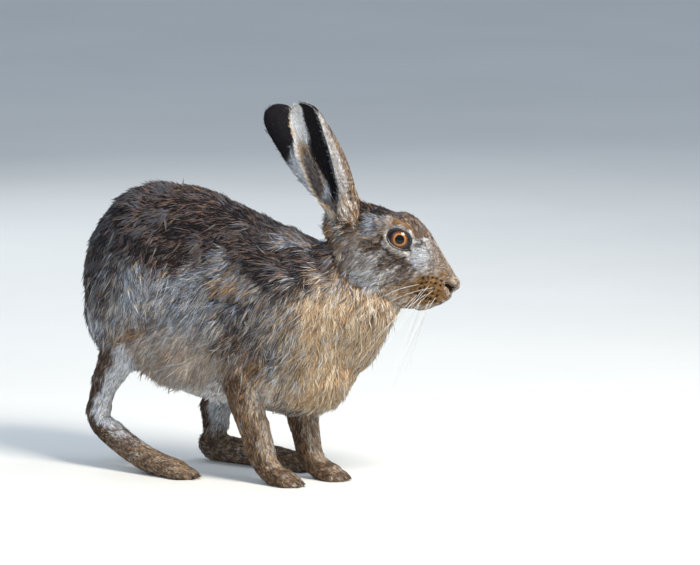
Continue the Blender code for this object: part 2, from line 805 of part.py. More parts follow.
def main():
    clear_scene()
    materials = make_materials()
    trunk = make_trunk()
    head = make_head()
    for sign in (-1, 1):
        crease(head, [mirrored(point, sign) for point in MOUTH], MOUTH_R)
        crease(head, [mirrored(point, sign) for point in NOSTRIL], NOSTRIL_R)
    crease(head, LIP_CLEFT, LIP_CLEFT_R)
    place_in_head(head)
    tail = make_tail()
    set_in_head, forearms, shanks = [], [], []
    for side in ("right", "left"):
        set_in_head += [make_ear(side), make_eye(side)]
        forearms.append(loft("forearm_" + side, FORELEG[side], LIMB_MESH))
        shanks.append(loft("shank_" + side, SHANK[side], LIMB_MESH))
        paw = make_foot("fore_paw_" + side, FORE_PAW[side], FORE_TOES)
        foot = make_foot("hind_foot_" + side, HIND_FOOT[side], HIND_TOES)
        seat(forearms[-1], [paw])
        seat(shanks[-1], [foot])
    seat(head, set_in_head, "MANIFOLD")
    seat(trunk, [head, *set_in_head, tail, *forearms, *shanks])
    for side, sign in (("right", -1), ("left", 1)):
        part_off(trunk, "thigh_" + side, oval_cut(THIGH_CUT, sign))
        part_off(trunk, "upper_arm_" + side, oval_cut(UPPER_ARM_CUT, sign))
    part_off(trunk, "neck", lambda growth: half_space(*NECK_PLANE, growth))
    part_off(trunk, "rump", behind(RUMP_X))
    part_off(trunk, "barrel", behind(BARREL_X))
    shift = Matrix.Translation((FORE_FEET_X, FORE_FEET_Y, 0))
    for obj in list(bpy.data.objects):
        tidy(obj)
        obj.data.transform(shift)
        slot = obj.name.removesuffix("_left").removesuffix("_right")
        obj.data.materials.clear()
        obj.data.materials.append(materials[MATERIAL_OF[slot]])


main()
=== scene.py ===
"""The hare's looks: one skin, a coat of fine tufts, ears, eyes, whiskers, claws, light and camera.

Lengths are metres in the frame's own coordinates: +X from tail to chest, +Y to the hare's left, +Z up.
"""

import math

import bmesh
import bpy
import numpy as np
from mathutils import Matrix, Vector
from mathutils.bvhtree import BVHTree
from mathutils.kdtree import KDTree


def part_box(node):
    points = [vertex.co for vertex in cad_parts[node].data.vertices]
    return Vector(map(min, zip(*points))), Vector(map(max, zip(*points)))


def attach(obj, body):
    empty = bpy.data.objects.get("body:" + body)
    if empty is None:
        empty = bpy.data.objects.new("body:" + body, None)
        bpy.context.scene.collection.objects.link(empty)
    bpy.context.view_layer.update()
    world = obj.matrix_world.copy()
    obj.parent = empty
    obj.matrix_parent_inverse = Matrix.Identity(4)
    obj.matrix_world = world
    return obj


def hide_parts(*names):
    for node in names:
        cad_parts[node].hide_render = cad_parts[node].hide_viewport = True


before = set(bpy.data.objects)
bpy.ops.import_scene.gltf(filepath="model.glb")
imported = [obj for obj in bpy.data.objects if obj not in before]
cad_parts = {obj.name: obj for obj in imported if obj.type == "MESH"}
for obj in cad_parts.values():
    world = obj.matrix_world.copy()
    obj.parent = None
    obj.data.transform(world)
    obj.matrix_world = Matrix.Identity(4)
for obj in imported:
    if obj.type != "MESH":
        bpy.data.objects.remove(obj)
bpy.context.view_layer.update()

# The view: turn round the object, height above the horizon, distance, width seen and what it looks at.
VIEW_TURN = 38.0
VIEW_RISE = 8.0
VIEW_DISTANCE = 8.0
VIEW_WIDTH = 0.70
VIEW_AT = (0.124, -0.0051, 0.208)
SENSOR = 36.0

# The head's frame: midway between the eyes, forward along the nose, left, and up from the face.
HEAD_PITCH = 25.0
EYE_HALF = (0.0152, 0.0124, 0.0136)
# An eyeball's size against its solid's.
EYE_INSET = 0.985
# How far an eye looks forward and up, in degrees.
EYE_FORWARD = 10.0
EYE_UP = 5.0
LID_FORWARD = -0.0010
LID_HALF_LENGTH = 0.0129
LID_HALF_HEIGHT = 0.0095
LID_CORNER_DROP = 0.0036
IRIS_FORWARD = -0.0013
IRIS_R = 0.0090
PUPIL_R = 0.0048
IRIS_STIR = 0.07

MOUTH = [
    (0.0400, 0.0180, -0.0485), (0.0520, 0.0170, -0.0470), (0.0620, 0.0120, -0.0450), (0.0690, 0.0, -0.0430),
]
LIP_CLEFT = [(0.0710, 0.0, -0.0250), (0.0710, 0.0, -0.0340), (0.0690, 0.0, -0.0430)]

# Ears: root in the head's frame, lean back, splay and turn of the cup in degrees, as the solids have them.
EAR_LENGTH = {"right": 0.1260, "left": 0.1350}
EAR_ROOT = {"right": (-0.0575, -0.0140, -0.0050), "left": (-0.0595, 0.0140, -0.0030)}
EAR_POSE = {"right": (22.0, 7.0, 22.0), "left": (40.5, 11.0, 20.0)}
# Share of the length, half width, cup depth, and the arcs from the back to the rear and front rims.
EAR = [
    (-0.10, 0.0110, 0.0100, 176.0, 178.0),
    (0.00, 0.0150, 0.0135, 176.0, 178.0),
    (0.10, 0.0178, 0.0145, 158.0, 170.0),
    (0.24, 0.0222, 0.0160, 112.0, 148.0),
    (0.40, 0.0248, 0.0168, 95.0, 140.0),
    (0.56, 0.0248, 0.0162, 90.0, 132.0),
    (0.70, 0.0226, 0.0148, 86.0, 122.0),
    (0.83, 0.0202, 0.0122, 82.0, 110.0),
    (0.93, 0.0162, 0.0086, 78.0, 95.0),
    (1.00, 0.0062, 0.0038, 75.0, 80.0),
]
EAR_ROWS = 90
EAR_COLUMNS = 44
# How far the ear's outside lies in under its coat, and its thickness in the middle and at the rim.
EAR_COAT = 0.0005
EAR_THICK = 0.0018
EAR_RIM = 0.0008
# How much of its width the rear half of the far ear keeps.
FAR_EAR_REAR = 0.84
# The mound of the head under each ear: half sizes, and how deep its centre lies.
EAR_STUMP = (0.0150, 0.0135, 0.0190)
EAR_STUMP_DEPTH = 0.004

# Skins: voxel size, rounds of smoothing, and how far the solids swell to close the clearances.
BODY_VOXEL = 0.0026
BODY_ROUNDS = 10
HEAD_VOXEL = 0.0011
HEAD_ROUNDS = 14
BODY_SWELL = 0.0010
HEAD_SWELL = 0.0006

# For each body part: how far the skin lies in and the coat stands, tuft length and width, tufts for its area.
COAT = {
    "neck": (0.0060, 0.0040, 0.0150, 0.00060, 1.0),
    "chest": (0.0050, 0.0042, 0.0170, 0.00060, 1.0),
    "barrel": (0.0062, 0.0038, 0.0165, 0.00062, 1.0),
    "rump": (-0.0006, 0.0040, 0.0150, 0.00064, 1.0),
    "tail": (-0.0016, 0.0040, 0.0130, 0.00062, 1.2),
    "upper_arm": (0.0042, 0.0034, 0.0145, 0.00060, 1.0),
    "forearm": (0.0013, 0.0014, 0.0070, 0.00048, 1.2),
    "fore_paw": (0.0005, 0.0009, 0.0046, 0.00045, 1.5),
    "thigh": (0.0046, 0.0036, 0.0150, 0.00062, 1.0),
    "shank": (0.0032, 0.0018, 0.0080, 0.00052, 1.3),
    "hind_foot": (0.0005, 0.0010, 0.0052, 0.00048, 1.4),
    "head": (0.0030, 0.0034, 0.0110, 0.00058, 1.0),
}
# Tufts on each skin, the most in one piece, locks of tufts on each skin, a tuft's patch on the bake's map.
BODY_TUFTS = 240000
HEAD_TUFTS = 95000
EAR_TUFTS = 17000
PIECE_TUFTS = 49000
LOCKS = 17000
BROAD_LOCKS = 2600
HEAD_LOCKS = 11000
BAKE_PATCH = 0.003
# How deep a tuft is rooted, and how low skin and coat may reach above the ground.
ROOT_DEPTH = 0.0004
LOWEST_SKIN = 0.0006
LOWEST_TUFT = 0.0002

# Coat colours, linear, from dark to light. The blue cast of ink, grey, silver and white is painted sky light
# on shaded fur.
INK = (0.007, 0.007, 0.010)
DARK = (0.037, 0.025, 0.021)
RUST = (0.200, 0.128, 0.103)
OCHRE = (0.330, 0.165, 0.050)
GREY = (0.126, 0.130, 0.148)
BUFF = (0.510, 0.335, 0.175)
SILVER = (0.355, 0.388, 0.450)
CREAM = (0.690, 0.580, 0.430)
WHITE = (0.820, 0.845, 0.890)
PALETTE = np.array([INK, DARK, RUST, OCHRE, GREY, BUFF, SILVER, CREAM, WHITE])
# How dark the skin is painted under each coat, as a share of the coat's colour: partly the dark underfur,
# partly painted shade down between the tufts.
BODY_SKIN_TONE, HEAD_SKIN_TONE, EAR_SKIN_TONE = 0.32, 0.6, 0.8
BARE_SKIN = (0.010, 0.007, 0.006)

rng = np.random.default_rng(41)


def unit(v):
    return v / np.maximum(np.linalg.norm(v, axis=-1, keepdims=True), 1e-12)


def step(x, low, high):
    """Rises smoothly from 0 at low to 1 at high."""
    t = np.clip((x - low) / (high - low), 0.0, 1.0)
    return t * t * (3 - 2 * t)


def between(x, rise, fall):
    """Rises from 0 to 1 over the first pair and falls back to 0 over the second."""
    return step(x, *rise) * (1 - step(x, *fall))


def spot(u, v, centre, half_sizes, soft=0.35):
    """1 inside an oval, fading over its edge."""
    r = np.hypot((u - centre[0]) / half_sizes[0], (v - centre[1]) / half_sizes[1])
    return 1 - step(r, 1 - soft, 1 + soft)


def waves(points, length, seed, count=9):
    """A smooth random field of that wave length, about -1 to 1."""
    draw = np.random.default_rng(seed)
    total = np.zeros(len(points))
    for _ in range(count):
        way = unit(draw.normal(size=3)) * (2 * math.pi / length) * draw.uniform(0.7, 1.4)
        total += np.sin(points @ way + draw.uniform(0, 6.28))
    return total / math.sqrt(count / 2) * 0.7


def smooth_curve(rows, count):
    """count rows read at even steps from a Catmull-Rom curve through the given rows."""
    rows = np.array(rows, float)
    ends = np.vstack([2 * rows[0] - rows[1], rows, 2 * rows[-1] - rows[-2]])
    read = []
    for t in np.linspace(0, len(rows) - 1, count):
        i = min(int(t), len(rows) - 2)
        u = t - i
        a, b, c, d = ends[i : i + 4]
        bend = (2 * a - 5 * b + 4 * c - d) * u**2
        twist = (3 * b - a - 3 * c + d) * u**3
        read.append(0.5 * (2 * b + (c - a) * u + bend + twist))
    return np.array(read)


def path_distance(points, path):
    """How far each point lies from a line through the path."""
    best = np.full(len(points), np.inf)
    for a, b in zip(path[:-1], path[1:]):
        along = b - a
        t = np.clip((points - a) @ along / (along @ along), 0, 1)
        best = np.minimum(best, np.linalg.norm(points - (a + t[:, None] * along), axis=1))
    return best


def in_frame(points, matrix):
    """The points carried by a 4x4 matrix."""
    m = np.array(matrix)
    return points @ m[:3, :3].T + m[:3, 3]


def turned(vectors, matrix):
    return vectors @ np.array(matrix)[:3, :3].T


def flat(vectors, normals):
    """The vectors without what they have along the normals."""
    return vectors - normals * (vectors * normals).sum(1)[:, None]


def swayed(flow, normals, angle):
    """The flow turned about the normals."""
    return flow * np.cos(angle)[:, None] + np.cross(normals, flow) * np.sin(angle)[:, None]


# The head's place, read from where the frame has its eyes.
EYE_SPOT = {side: sum(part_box("eye_" + side), Vector()) / 2 for side in ("right", "left")}
HEAD_AT = (EYE_SPOT["left"] + EYE_SPOT["right"]) / 2
LEFTWARD = (EYE_SPOT["left"] - EYE_SPOT["right"]).normalized()
HEAD_YAW = math.degrees(math.atan2(-LEFTWARD.x, LEFTWARD.y))
EYE_ASIDE = (EYE_SPOT["left"] - EYE_SPOT["right"]).length / 2
YAW = Matrix.Rotation(math.radians(HEAD_YAW), 4, "Z")
HEAD = Matrix.Translation(HEAD_AT) @ YAW @ Matrix.Rotation(math.radians(HEAD_PITCH), 4, "Y")
HEAD_BACK = HEAD.inverted()


def eye_matrix(sign):
    """From the eye's frame, with +Y out of the head for sign 1, to the head's frame."""
    turn = Matrix.Rotation(math.radians(-sign * EYE_FORWARD), 4, "Z")
    turn = turn @ Matrix.Rotation(math.radians(sign * EYE_UP), 4, "X")
    return Matrix.Translation((0, sign * EYE_ASIDE, 0)) @ turn


def in_eye(h, sign):
    """Points of the head's frame in the frame of one eye."""
    return in_frame(h, eye_matrix(sign).inverted())


def lid_place(x, z):
    """Where a point stands against the opening between the lids: 1 on its edge, less inside."""
    x = (x - LID_FORWARD) / LID_HALF_LENGTH
    return np.hypot(x, (z + LID_CORNER_DROP * np.clip(x, 0, 1.3) ** 3) / LID_HALF_HEIGHT)


def ball_height(x, z):
    """How far out the eyeball's surface lies at a point of the eye's frame."""
    inside = 1 - (x / EYE_HALF[0]) ** 2 - (z / EYE_HALF[2]) ** 2
    return EYE_HALF[1] * np.sqrt(np.maximum(inside, 0.02))


def placed(name, data):
    """A new object of the scene with that data."""
    obj = bpy.data.objects.new(name, data)
    bpy.context.scene.collection.objects.link(obj)
    return obj


def new_object(name, points, faces):
    mesh = bpy.data.meshes.new(name)
    mesh.from_pydata([tuple(p) for p in points], [], [tuple(f) for f in faces])
    mesh.update()
    return placed(name, mesh)


def changed(mesh, change):
    """Gives the mesh to change as a bmesh, and takes the result back."""
    bm = bmesh.new()
    bm.from_mesh(mesh)
    change(bm)
    bm.to_mesh(mesh)
    bm.free()


def fused(name, nodes, extra, voxel, rounds, swell):
    """One closed skin over the given solids and extra spheres, given as 4x4 matrices."""
    bm = bmesh.new()
    for node in nodes:
        bm.from_mesh(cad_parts[node].data)
    bmesh.ops.remove_doubles(bm, verts=bm.verts, dist=3e-6)
    bm.normal_update()
    for vert in bm.verts:
        vert.co += vert.normal * swell
    for place in extra:
        bmesh.ops.create_uvsphere(bm, u_segments=24, v_segments=14, radius=1.0, matrix=place)
    mesh = bpy.data.meshes.new(name)
    bm.to_mesh(mesh)
    bm.free()
    obj = placed(name, mesh)
    remesh = obj.modifiers.new("fuse", "REMESH")
    remesh.mode = "VOXEL"
    remesh.voxel_size = voxel
    smooth = obj.modifiers.new("smooth", "SMOOTH")
    smooth.factor = 0.5
    smooth.iterations = rounds
    graph = bpy.context.evaluated_depsgraph_get()
    mesh = bpy.data.meshes.new_from_object(obj.evaluated_get(graph))
    obj.modifiers.clear()
    obj.data = mesh
    return triangulated(obj)


def triangulated(obj):
    changed(obj.data, lambda bm: bmesh.ops.triangulate(bm, faces=bm.faces))
    return obj


def numbers(items, name, width, kind=np.float32):
    """What each item of a mesh has under that name, as an array."""
    got = np.empty(len(items) * width, kind)
    items.foreach_get(name, got)
    return got.reshape(-1, width)


def points_of(obj):
    return numbers(obj.data.vertices, "co", 3).astype(float)


def set_points(obj, points):
    obj.data.vertices.foreach_set("co", points.astype(np.float32).ravel())
    obj.data.update()


def normals_of(obj):
    return numbers(obj.data.vertices, "normal", 3).astype(float)


def edges_of(obj):
    return numbers(obj.data.edges, "vertices", 2, np.int32)


def triangles_of(obj):
    """Corner vertices and corner loops of the mesh's triangles."""
    obj.data.calc_loop_triangles()
    return [numbers(obj.data.loop_triangles, name, 3, np.int32) for name in ("vertices", "loops")]


def spread(values, edges, rounds):
    """Evens a field out over the mesh."""
    count = len(values)
    values = values.reshape(count, -1)
    ends = np.concatenate([edges[:, 0], edges[:, 1]])
    others = np.concatenate([edges[:, 1], edges[:, 0]])
    number = np.maximum(np.bincount(ends, minlength=count), 1)[:, None]
    for _ in range(rounds):
        sums = [np.bincount(ends, weights=column[others], minlength=count) for column in values.T]
        values = 0.4 * values + 0.6 * np.stack(sums, 1) / number
    return values


def unwrap(obj, corner, size):
    """Lays the mesh out flat, in one corner of the bake map."""
    bpy.ops.object.select_all(action="DESELECT")
    obj.select_set(True)
    bpy.context.view_layer.objects.active = obj
    obj.data.uv_layers.new(name="OFBake")
    bpy.ops.object.mode_set(mode="EDIT")
    bpy.ops.mesh.select_all(action="SELECT")
    bpy.ops.uv.smart_project(angle_limit=math.radians(70), island_margin=0.002)
    bpy.ops.object.mode_set(mode="OBJECT")
    layer = obj.data.uv_layers["OFBake"].data
    uv = numbers(layer, "uv", 2) * np.array(size) + np.array(corner)
    layer.foreach_set("uv", uv.astype(np.float32).ravel())
    return uv


def paint(obj, colours):
    """Stores a colour on each vertex."""
    layer = obj.data.color_attributes.new("Coat", "FLOAT_COLOR", "POINT")
    rgba = np.ones((len(colours), 4), np.float32)
    rgba[:, :3] = colours
    layer.data.foreach_set("color", rgba.ravel())


def tufts(name, roots, normals, lie, length, width, rise, colours, uv):
    """Closed slim spindles that grow from the skin along the lie of the coat, joined in pieces.

    rise is how high each tip stands. colours are those of root, middle and tip.
    """
    made = []
    count = len(roots)
    side = unit(np.cross(normals, lie))
    bow = rng.normal(0, 0.10, count)
    slope = np.arcsin(np.clip(rise / length, 0.02, 0.85))
    first = np.clip(slope * 1.35 + 0.06, 0, 1.2)
    reach = length[:, None]
    middle = roots + 0.42 * reach * (np.cos(first)[:, None] * lie + np.sin(first)[:, None] * normals)
    tip = roots + reach * (np.cos(slope)[:, None] * lie + np.sin(slope)[:, None] * normals)
    tip = tip + side * (bow * length)[:, None]
    half = width[:, None] / 2
    corners = np.stack([roots - normals * ROOT_DEPTH, middle - side * half, middle + side * half, tip], 1)
    corners[:, :, 2] = np.maximum(corners[:, :, 2], LOWEST_TUFT)
    leaning = [normals, normals * 0.8 - side * 0.6, normals * 0.8 + side * 0.6, normals + 0.3 * lie]
    shade = np.stack(leaning, 1)
    tint = np.stack([colours[0], colours[1], colours[1], colours[2]], 1)
    outline = np.array([(0, -0.5), (-0.4, 0), (0.4, 0), (0, 0.5)]) * BAKE_PATCH
    patch = uv[:, None, :] + outline
    pattern = np.array([(0, 1, 2), (3, 2, 1), (0, 2, 3), (0, 3, 1)])
    pieces = max(1, math.ceil(count / PIECE_TUFTS))
    for k in range(pieces):
        pick = slice(k, None, pieces)
        here = corners[pick]
        size = len(here)
        faces = (pattern[None] + 4 * np.arange(size)[:, None, None]).reshape(-1, 3).astype(np.int32)
        mesh = bpy.data.meshes.new(f"{name}_{k + 1}")
        mesh.vertices.add(size * 4)
        mesh.vertices.foreach_set("co", here.astype(np.float32).ravel())
        mesh.loops.add(len(faces) * 3)
        mesh.loops.foreach_set("vertex_index", faces.ravel())
        mesh.polygons.add(len(faces))
        mesh.polygons.foreach_set("loop_start", np.arange(len(faces), dtype=np.int32) * 3)
        mesh.update(calc_edges=True)
        mesh.polygons.foreach_set("use_smooth", np.ones(len(faces), bool))
        layer = mesh.uv_layers.new(name="OFBake")
        layer.data.foreach_set("uv", patch[pick].reshape(-1, 2)[faces.ravel()].astype(np.float32).ravel())
        obj = placed(mesh.name, mesh)
        paint(obj, tint[pick].reshape(-1, 3))
        mesh.normals_split_custom_set_from_vertices(unit(shade[pick].reshape(-1, 3)).astype(np.float32))
        made.append(obj)
    return made


def scatter(obj, uv, count, weight):
    """Random places on the mesh: corner vertices, their shares, and the place in the bake map."""
    tris, loops = triangles_of(obj)
    a, b, c = points_of(obj)[tris].transpose(1, 0, 2)
    area = np.linalg.norm(np.cross(b - a, c - a), axis=1) * weight[tris].mean(1)
    pick = np.searchsorted(np.cumsum(area), rng.random(count) * area.sum())
    pick = np.minimum(pick, len(tris) - 1)
    r1, r2 = np.sqrt(rng.random(count)), rng.random(count)
    share = np.stack([1 - r1, r1 * (1 - r2), r1 * r2], 1)
    place = (uv[loops[pick]] * share[:, :, None]).sum(1)
    return tris[pick], share, place


def read(field, corners, share):
    """A vertex field at the scattered places."""
    got = field[corners]
    return (got * (share if got.ndim == 2 else share[:, :, None])).sum(1)


class Material:
    """A node material whose inputs are set to a value, or linked where they get another node's output."""

    def __init__(self, name, **values):
        self.data = bpy.data.materials.new(name)
        self.data.use_nodes = True
        self.shader = self.data.node_tree.nodes["Principled BSDF"]
        self.set(self.shader, values)

    def set(self, node, values):
        for key, value in values.items():
            socket = node.inputs[key if isinstance(key, int) else key.replace("_", " ")]
            if isinstance(value, bpy.types.NodeSocket):
                self.data.node_tree.links.new(value, socket)
            else:
                socket.default_value = value

    def node(self, kind, inputs, output, **settings):
        """Adds a node and gives one of its outputs."""
        node = self.data.node_tree.nodes.new("ShaderNode" + kind)
        for name, value in settings.items():
            setattr(node, name, value)
        self.set(node, inputs)
        return node.outputs[output]

    def grain(self, scale, detail, place=None):
        place = place or self.node("TexCoord", {}, "Object")
        return self.node("TexNoise", {"Vector": place, "Scale": scale, "Detail": detail}, "Fac")

    def ramp(self, value, stops):
        """A colour for the value, from rows of place and colour."""
        colour = self.node("ValToRGB", {"Fac": value}, "Color")
        elements = colour.node.color_ramp.elements
        while len(elements) < len(stops):
            elements.new(0.5)
        for element, (at, tint) in zip(elements, stops):
            element.position = at
            element.color = (*tint, 1.0)
        self.set(self.shader, {"Base Color": colour})


def coat_material(name, roughness, bump=0.0):
    """Fur colour from the painted coat, broken up finely, with fine relief where bump is given."""
    mat = Material(name, Specular_IOR_Level=0.10)
    colour = mat.node("VertexColor", {}, "Color", layer_name="Coat")
    noise = mat.grain(900.0, 3.0)
    ends = {"From Min": 0.3, "From Max": 0.7, "To Min": 0.80, "To Max": 1.16}
    span = mat.node("MapRange", {"Value": noise, **ends}, "Result")
    colour = mat.node("VectorMath", {0: colour, "Scale": span}, "Vector", operation="SCALE")
    ends = {"To Min": roughness - 0.08, "To Max": roughness + 0.08}
    rough = mat.node("MapRange", {"Value": noise, **ends}, "Result")
    mat.set(mat.shader, {"Base Color": colour, "Roughness": rough})
    if bump:
        relief = mat.node("Bump", {"Height": noise, "Strength": bump, "Distance": 0.0004}, "Normal")
        mat.set(mat.shader, {"Normal": relief})
    return mat.data


def plain_material(name, low, high, roughness, scale, coat=0.0):
    """Two close tones in a fine grain."""
    mat = Material(name, Roughness=roughness, Coat_Weight=coat)
    mat.ramp(mat.grain(scale, 4.0), [(0.35, low), (0.65, high)])
    return mat.data


def dress(obj, material, slot, *nodes):
    """Gives a piece its material, its body and the solids that it stands for; slot is not used."""
    obj.data.materials.clear()
    obj.data.materials.append(material)
    if nodes:
        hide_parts(*nodes)
    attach(obj, "root")


def mixed(parts, count):
    """Shares of the palette at each point, from rows of strength and shares laid one over another."""
    total = np.zeros((count, len(PALETTE)))
    for strength, shares in parts:
        row = np.array(shares, float)
        row = row / row.sum()
        strength = np.broadcast_to(strength, (count,))[:, None]
        total = total * (1 - strength) + row * strength
    return total


def side_plane(p):
    """Millimetres forward and up along a plane oblique to the flanks, the same for both sides."""
    x, y, z = p.T * 1000
    x, y = x - 35.2, -np.abs(y + 5.1)
    return 0.788 * x + 0.616 * y, 0.990 * z + 0.139 * (-0.616 * x + 0.788 * y)


def face_plane(h):
    """The same for the head, from the point between the eyes."""
    a, b, c = h.T * 1000
    a, c = 0.906 * a + 0.423 * c, -0.423 * a + 0.906 * c
    return 0.99 * a - 0.139 * np.abs(b), 0.99 * c - 0.019 * a - 0.139 * np.abs(b)


def plane_distance(plane, path):
    """How far, in millimetres, points on a plane lie from a path on it."""
    u, v = plane
    return path_distance(np.stack([u, v, 0 * u], 1), np.array([(*row, 0.0) for row in path], float))


def marks(rows, u, v):
    """Strength and shares of each mark of a table."""
    return [(row[5] * spot(u, v, row[:2], row[2:4], row[4]), row[6]) for row in rows]


# Each row: centre and half sizes on the side plane, edge softness, strength, and the tenths of the palette's
# colours (ink, dark, rust, ochre, grey, buff, silver, cream, white) that grow there.
BODY_MARKS = [
    (-85, 150, 60, 42, 0.6, 0.92, (6, 11, 2, 2, 26, 11, 34, 14, 4)),
    (-100, 195, 46, 34, 0.5, 0.94, (11, 15, 1, 1, 28, 3, 38, 6, 5)),
    (-95, 126, 66, 22, 0.6, 0.92, (2, 7, 4, 7, 18, 24, 22, 14, 2)),
    (-152, 194, 13, 24, 0.5, 0.95, (7, 10, 0, 1, 24, 1, 38, 3, 8)),
    (-156, 248, 28, 22, 0.6, 0.9, (56, 24, 5, 1, 17, 0, 1, 0, 0)),
    (-186, 205, 14, 46, 0.6, 0.9, (24, 22, 4, 3, 24, 2, 8, 0, 0)),
    (-150, 148, 14, 12, 0.5, 0.85, (5, 16, 18, 24, 8, 14, 2, 2, 0)),
    (-181, 136, 7, 28, 0.5, 0.9, (18, 30, 16, 8, 8, 2, 0, 0, 0)),
    (-10, 145, 34, 40, 0.5, 0.88, (18, 20, 3, 2, 28, 4, 22, 5, 2)),
    (-45, 145, 20, 22, 0.6, 0.9, (36, 32, 10, 9, 9, 3, 3, 0, 0)),
    (-38, 170, 22, 12, 0.5, 0.85, (22, 20, 4, 3, 26, 4, 18, 2, 0)),
    (-50, 191, 20, 8, 0.4, 0.9, (9, 15, 11, 14, 16, 18, 10, 5, 0)),
    # A thin dark line in the groove under the fold: painted shade.
    (-46, 181, 18, 2.6, 0.6, 0.9, (36, 26, 5, 2, 4, 1, 0, 0, 0)),
    (66, 150, 62, 66, 0.35, 0.95, (2, 8, 4, 15, 3, 44, 4, 33, 4)),
    (-2, 158, 22, 26, 0.6, 0.7, (8, 16, 8, 9, 26, 16, 18, 8, 1)),
    (50, 100, 40, 22, 0.5, 0.8, (1, 6, 3, 18, 1, 46, 2, 36, 4)),
    (50, 200, 20, 12, 0.6, 0.85, (14, 18, 9, 5, 22, 12, 18, 6, 1)),
    (-12, 92, 20, 22, 0.5, 0.85, (1, 5, 6, 10, 6, 28, 12, 30, 8)),
    (-30, 100, 14, 34, 0.5, 0.75, (5, 18, 16, 24, 8, 18, 2, 3, 0)),
    (-28, 108, 22, 4, 0.6, 0.75, (16, 26, 12, 18, 3, 4, 0, 0, 0)),
    (3, 222, 32, 24, 0.5, 0.96, (70, 22, 1, 0, 16, 0, 5, 0, 0)),
    (22, 203, 17, 12, 0.6, 0.85, (42, 26, 4, 3, 16, 2, 5, 1, 0)),
    (48, 232, 12, 16, 0.6, 0.75, (20, 22, 8, 2, 28, 2, 7, 0, 0)),
]


def body_shares(p):
    """Which coat colours grow at each point of the body and legs."""
    u, v = side_plane(p)
    ragged = 9 * waves(p, 0.050, 3) + 5 * waves(p, 0.018, 4)
    fine = 4 * waves(p, 0.022, 5) + 2 * waves(p, 0.009, 6)
    edge = 224 - 10 * step(u, -150, -90) - 6 * step(u, -60, 0) - 30 * step(-u, 168, 195)
    top = step(v + ragged, edge - 9, edge + 15) * (1 - step(u, 44, 58))
    cheek = plane_distance((u, v), [(64, 214), (80, 200), (97, 189), (114, 182)])
    behind = plane_distance((u, v), [(52, 236), (56, 219), (69, 203), (88, 191)])
    belly = 1 - step(p[:, 2] * 1000 + 0.4 * ragged, 88, 106)
    return mixed([
        (1.0, (9, 15, 5, 5, 24, 10, 20, 8, 1)),
        *marks(BODY_MARKS, u + fine, v + ragged * 0.5),
        (top, (66, 18, 23, 1, 12, 0, 0, 0, 0)),
        (0.8 * top * (1 - step(u, -160, -112)), (64, 16, 6, 1, 19, 0, 1, 0, 0)),
        (0.7 * top * step(u, -70, -10), (46, 26, 16, 1, 22, 1, 0, 0, 0)),
        (0.9 * spot(u, v, (24, 241), (19, 9), 0.6), (6, 10, 28, 2, 30, 6, 18, 1, 1)),
        (0.7 * (1 - step(cheek + 0.4 * fine, 1.0, 4.5)), (0, 1, 0, 1, 8, 4, 26, 12, 40)),
        # The line behind the cheek, where head meets neck, is ochre coat with painted shade darkening its
        # crease.
        (0.85 * (1 - step(behind + 0.4 * fine, 0.5, 3.0)), (20, 30, 6, 24, 6, 4, 0, 0, 0)),
        (0.9 * spot(u, v, (-189, 148), (9, 18), 0.4), (10, 8, 0, 0, 34, 0, 30, 0, 5)),
        (belly * between(p[:, 0], (-0.15, -0.10), (0.035, 0.065)), (0, 1, 0, 2, 5, 6, 16, 16, 45)),
    ], len(p))


def leg_shares(p, kind, lead):
    """Leg colours. lead is how far the skin faces forward, from -1 to 1."""
    if kind in ("forearm", "fore_paw"):
        front = step(lead, 0.30, 0.72)
        paw = (1.0, (12, 26, 18, 22, 10, 8, 2, 1, 0))
        return mixed([paw, (front, (1, 7, 16, 10, 9, 28, 14, 20, 3))], len(p))
    front = step(lead + 0.08 * waves(p, 0.02, 7), -0.02, 0.22)
    high = step(p[:, 2], 0.02, 0.05)
    return mixed([
        (1.0, (20, 34, 18, 9, 9, 2, 0, 0, 0)),
        (front * high, (0, 0, 0, 1, 8, 3, 30, 10, 40)),
        ((1 - high) * 0.8, (3, 14, 14, 18, 10, 22, 6, 8, 1)),
    ], len(p))


def tail_shares(normals):
    """A black stripe down the back of the tail, white below."""
    back = step(-normals[:, 0], 0.35, 0.75)
    return mixed([(1.0, (0, 1, 0, 0, 6, 1, 26, 6, 50)), (back, (50, 20, 4, 0, 2, 0, 0, 0, 0))], len(normals))


def from_face_plane(u, v):
    """Forward and up in the head's frame of a point 12 mm to the side of the middle."""
    a, c = (u + 1.7) / 990, (v + 1.7) / 990
    return 0.906 * a - 0.423 * c, 0.423 * a + 0.906 * c


# The rows of dark spots that the whiskers grow from, on the face plane.
PAD_SPOTS = [
    (39.5 - 4.6 * column - 1.6 * row, -42.0 - 5.0 * row + 0.6 * column - 0.5 * (column - 2) ** 2)
    for row in range(5)
    for column in range(5)
]

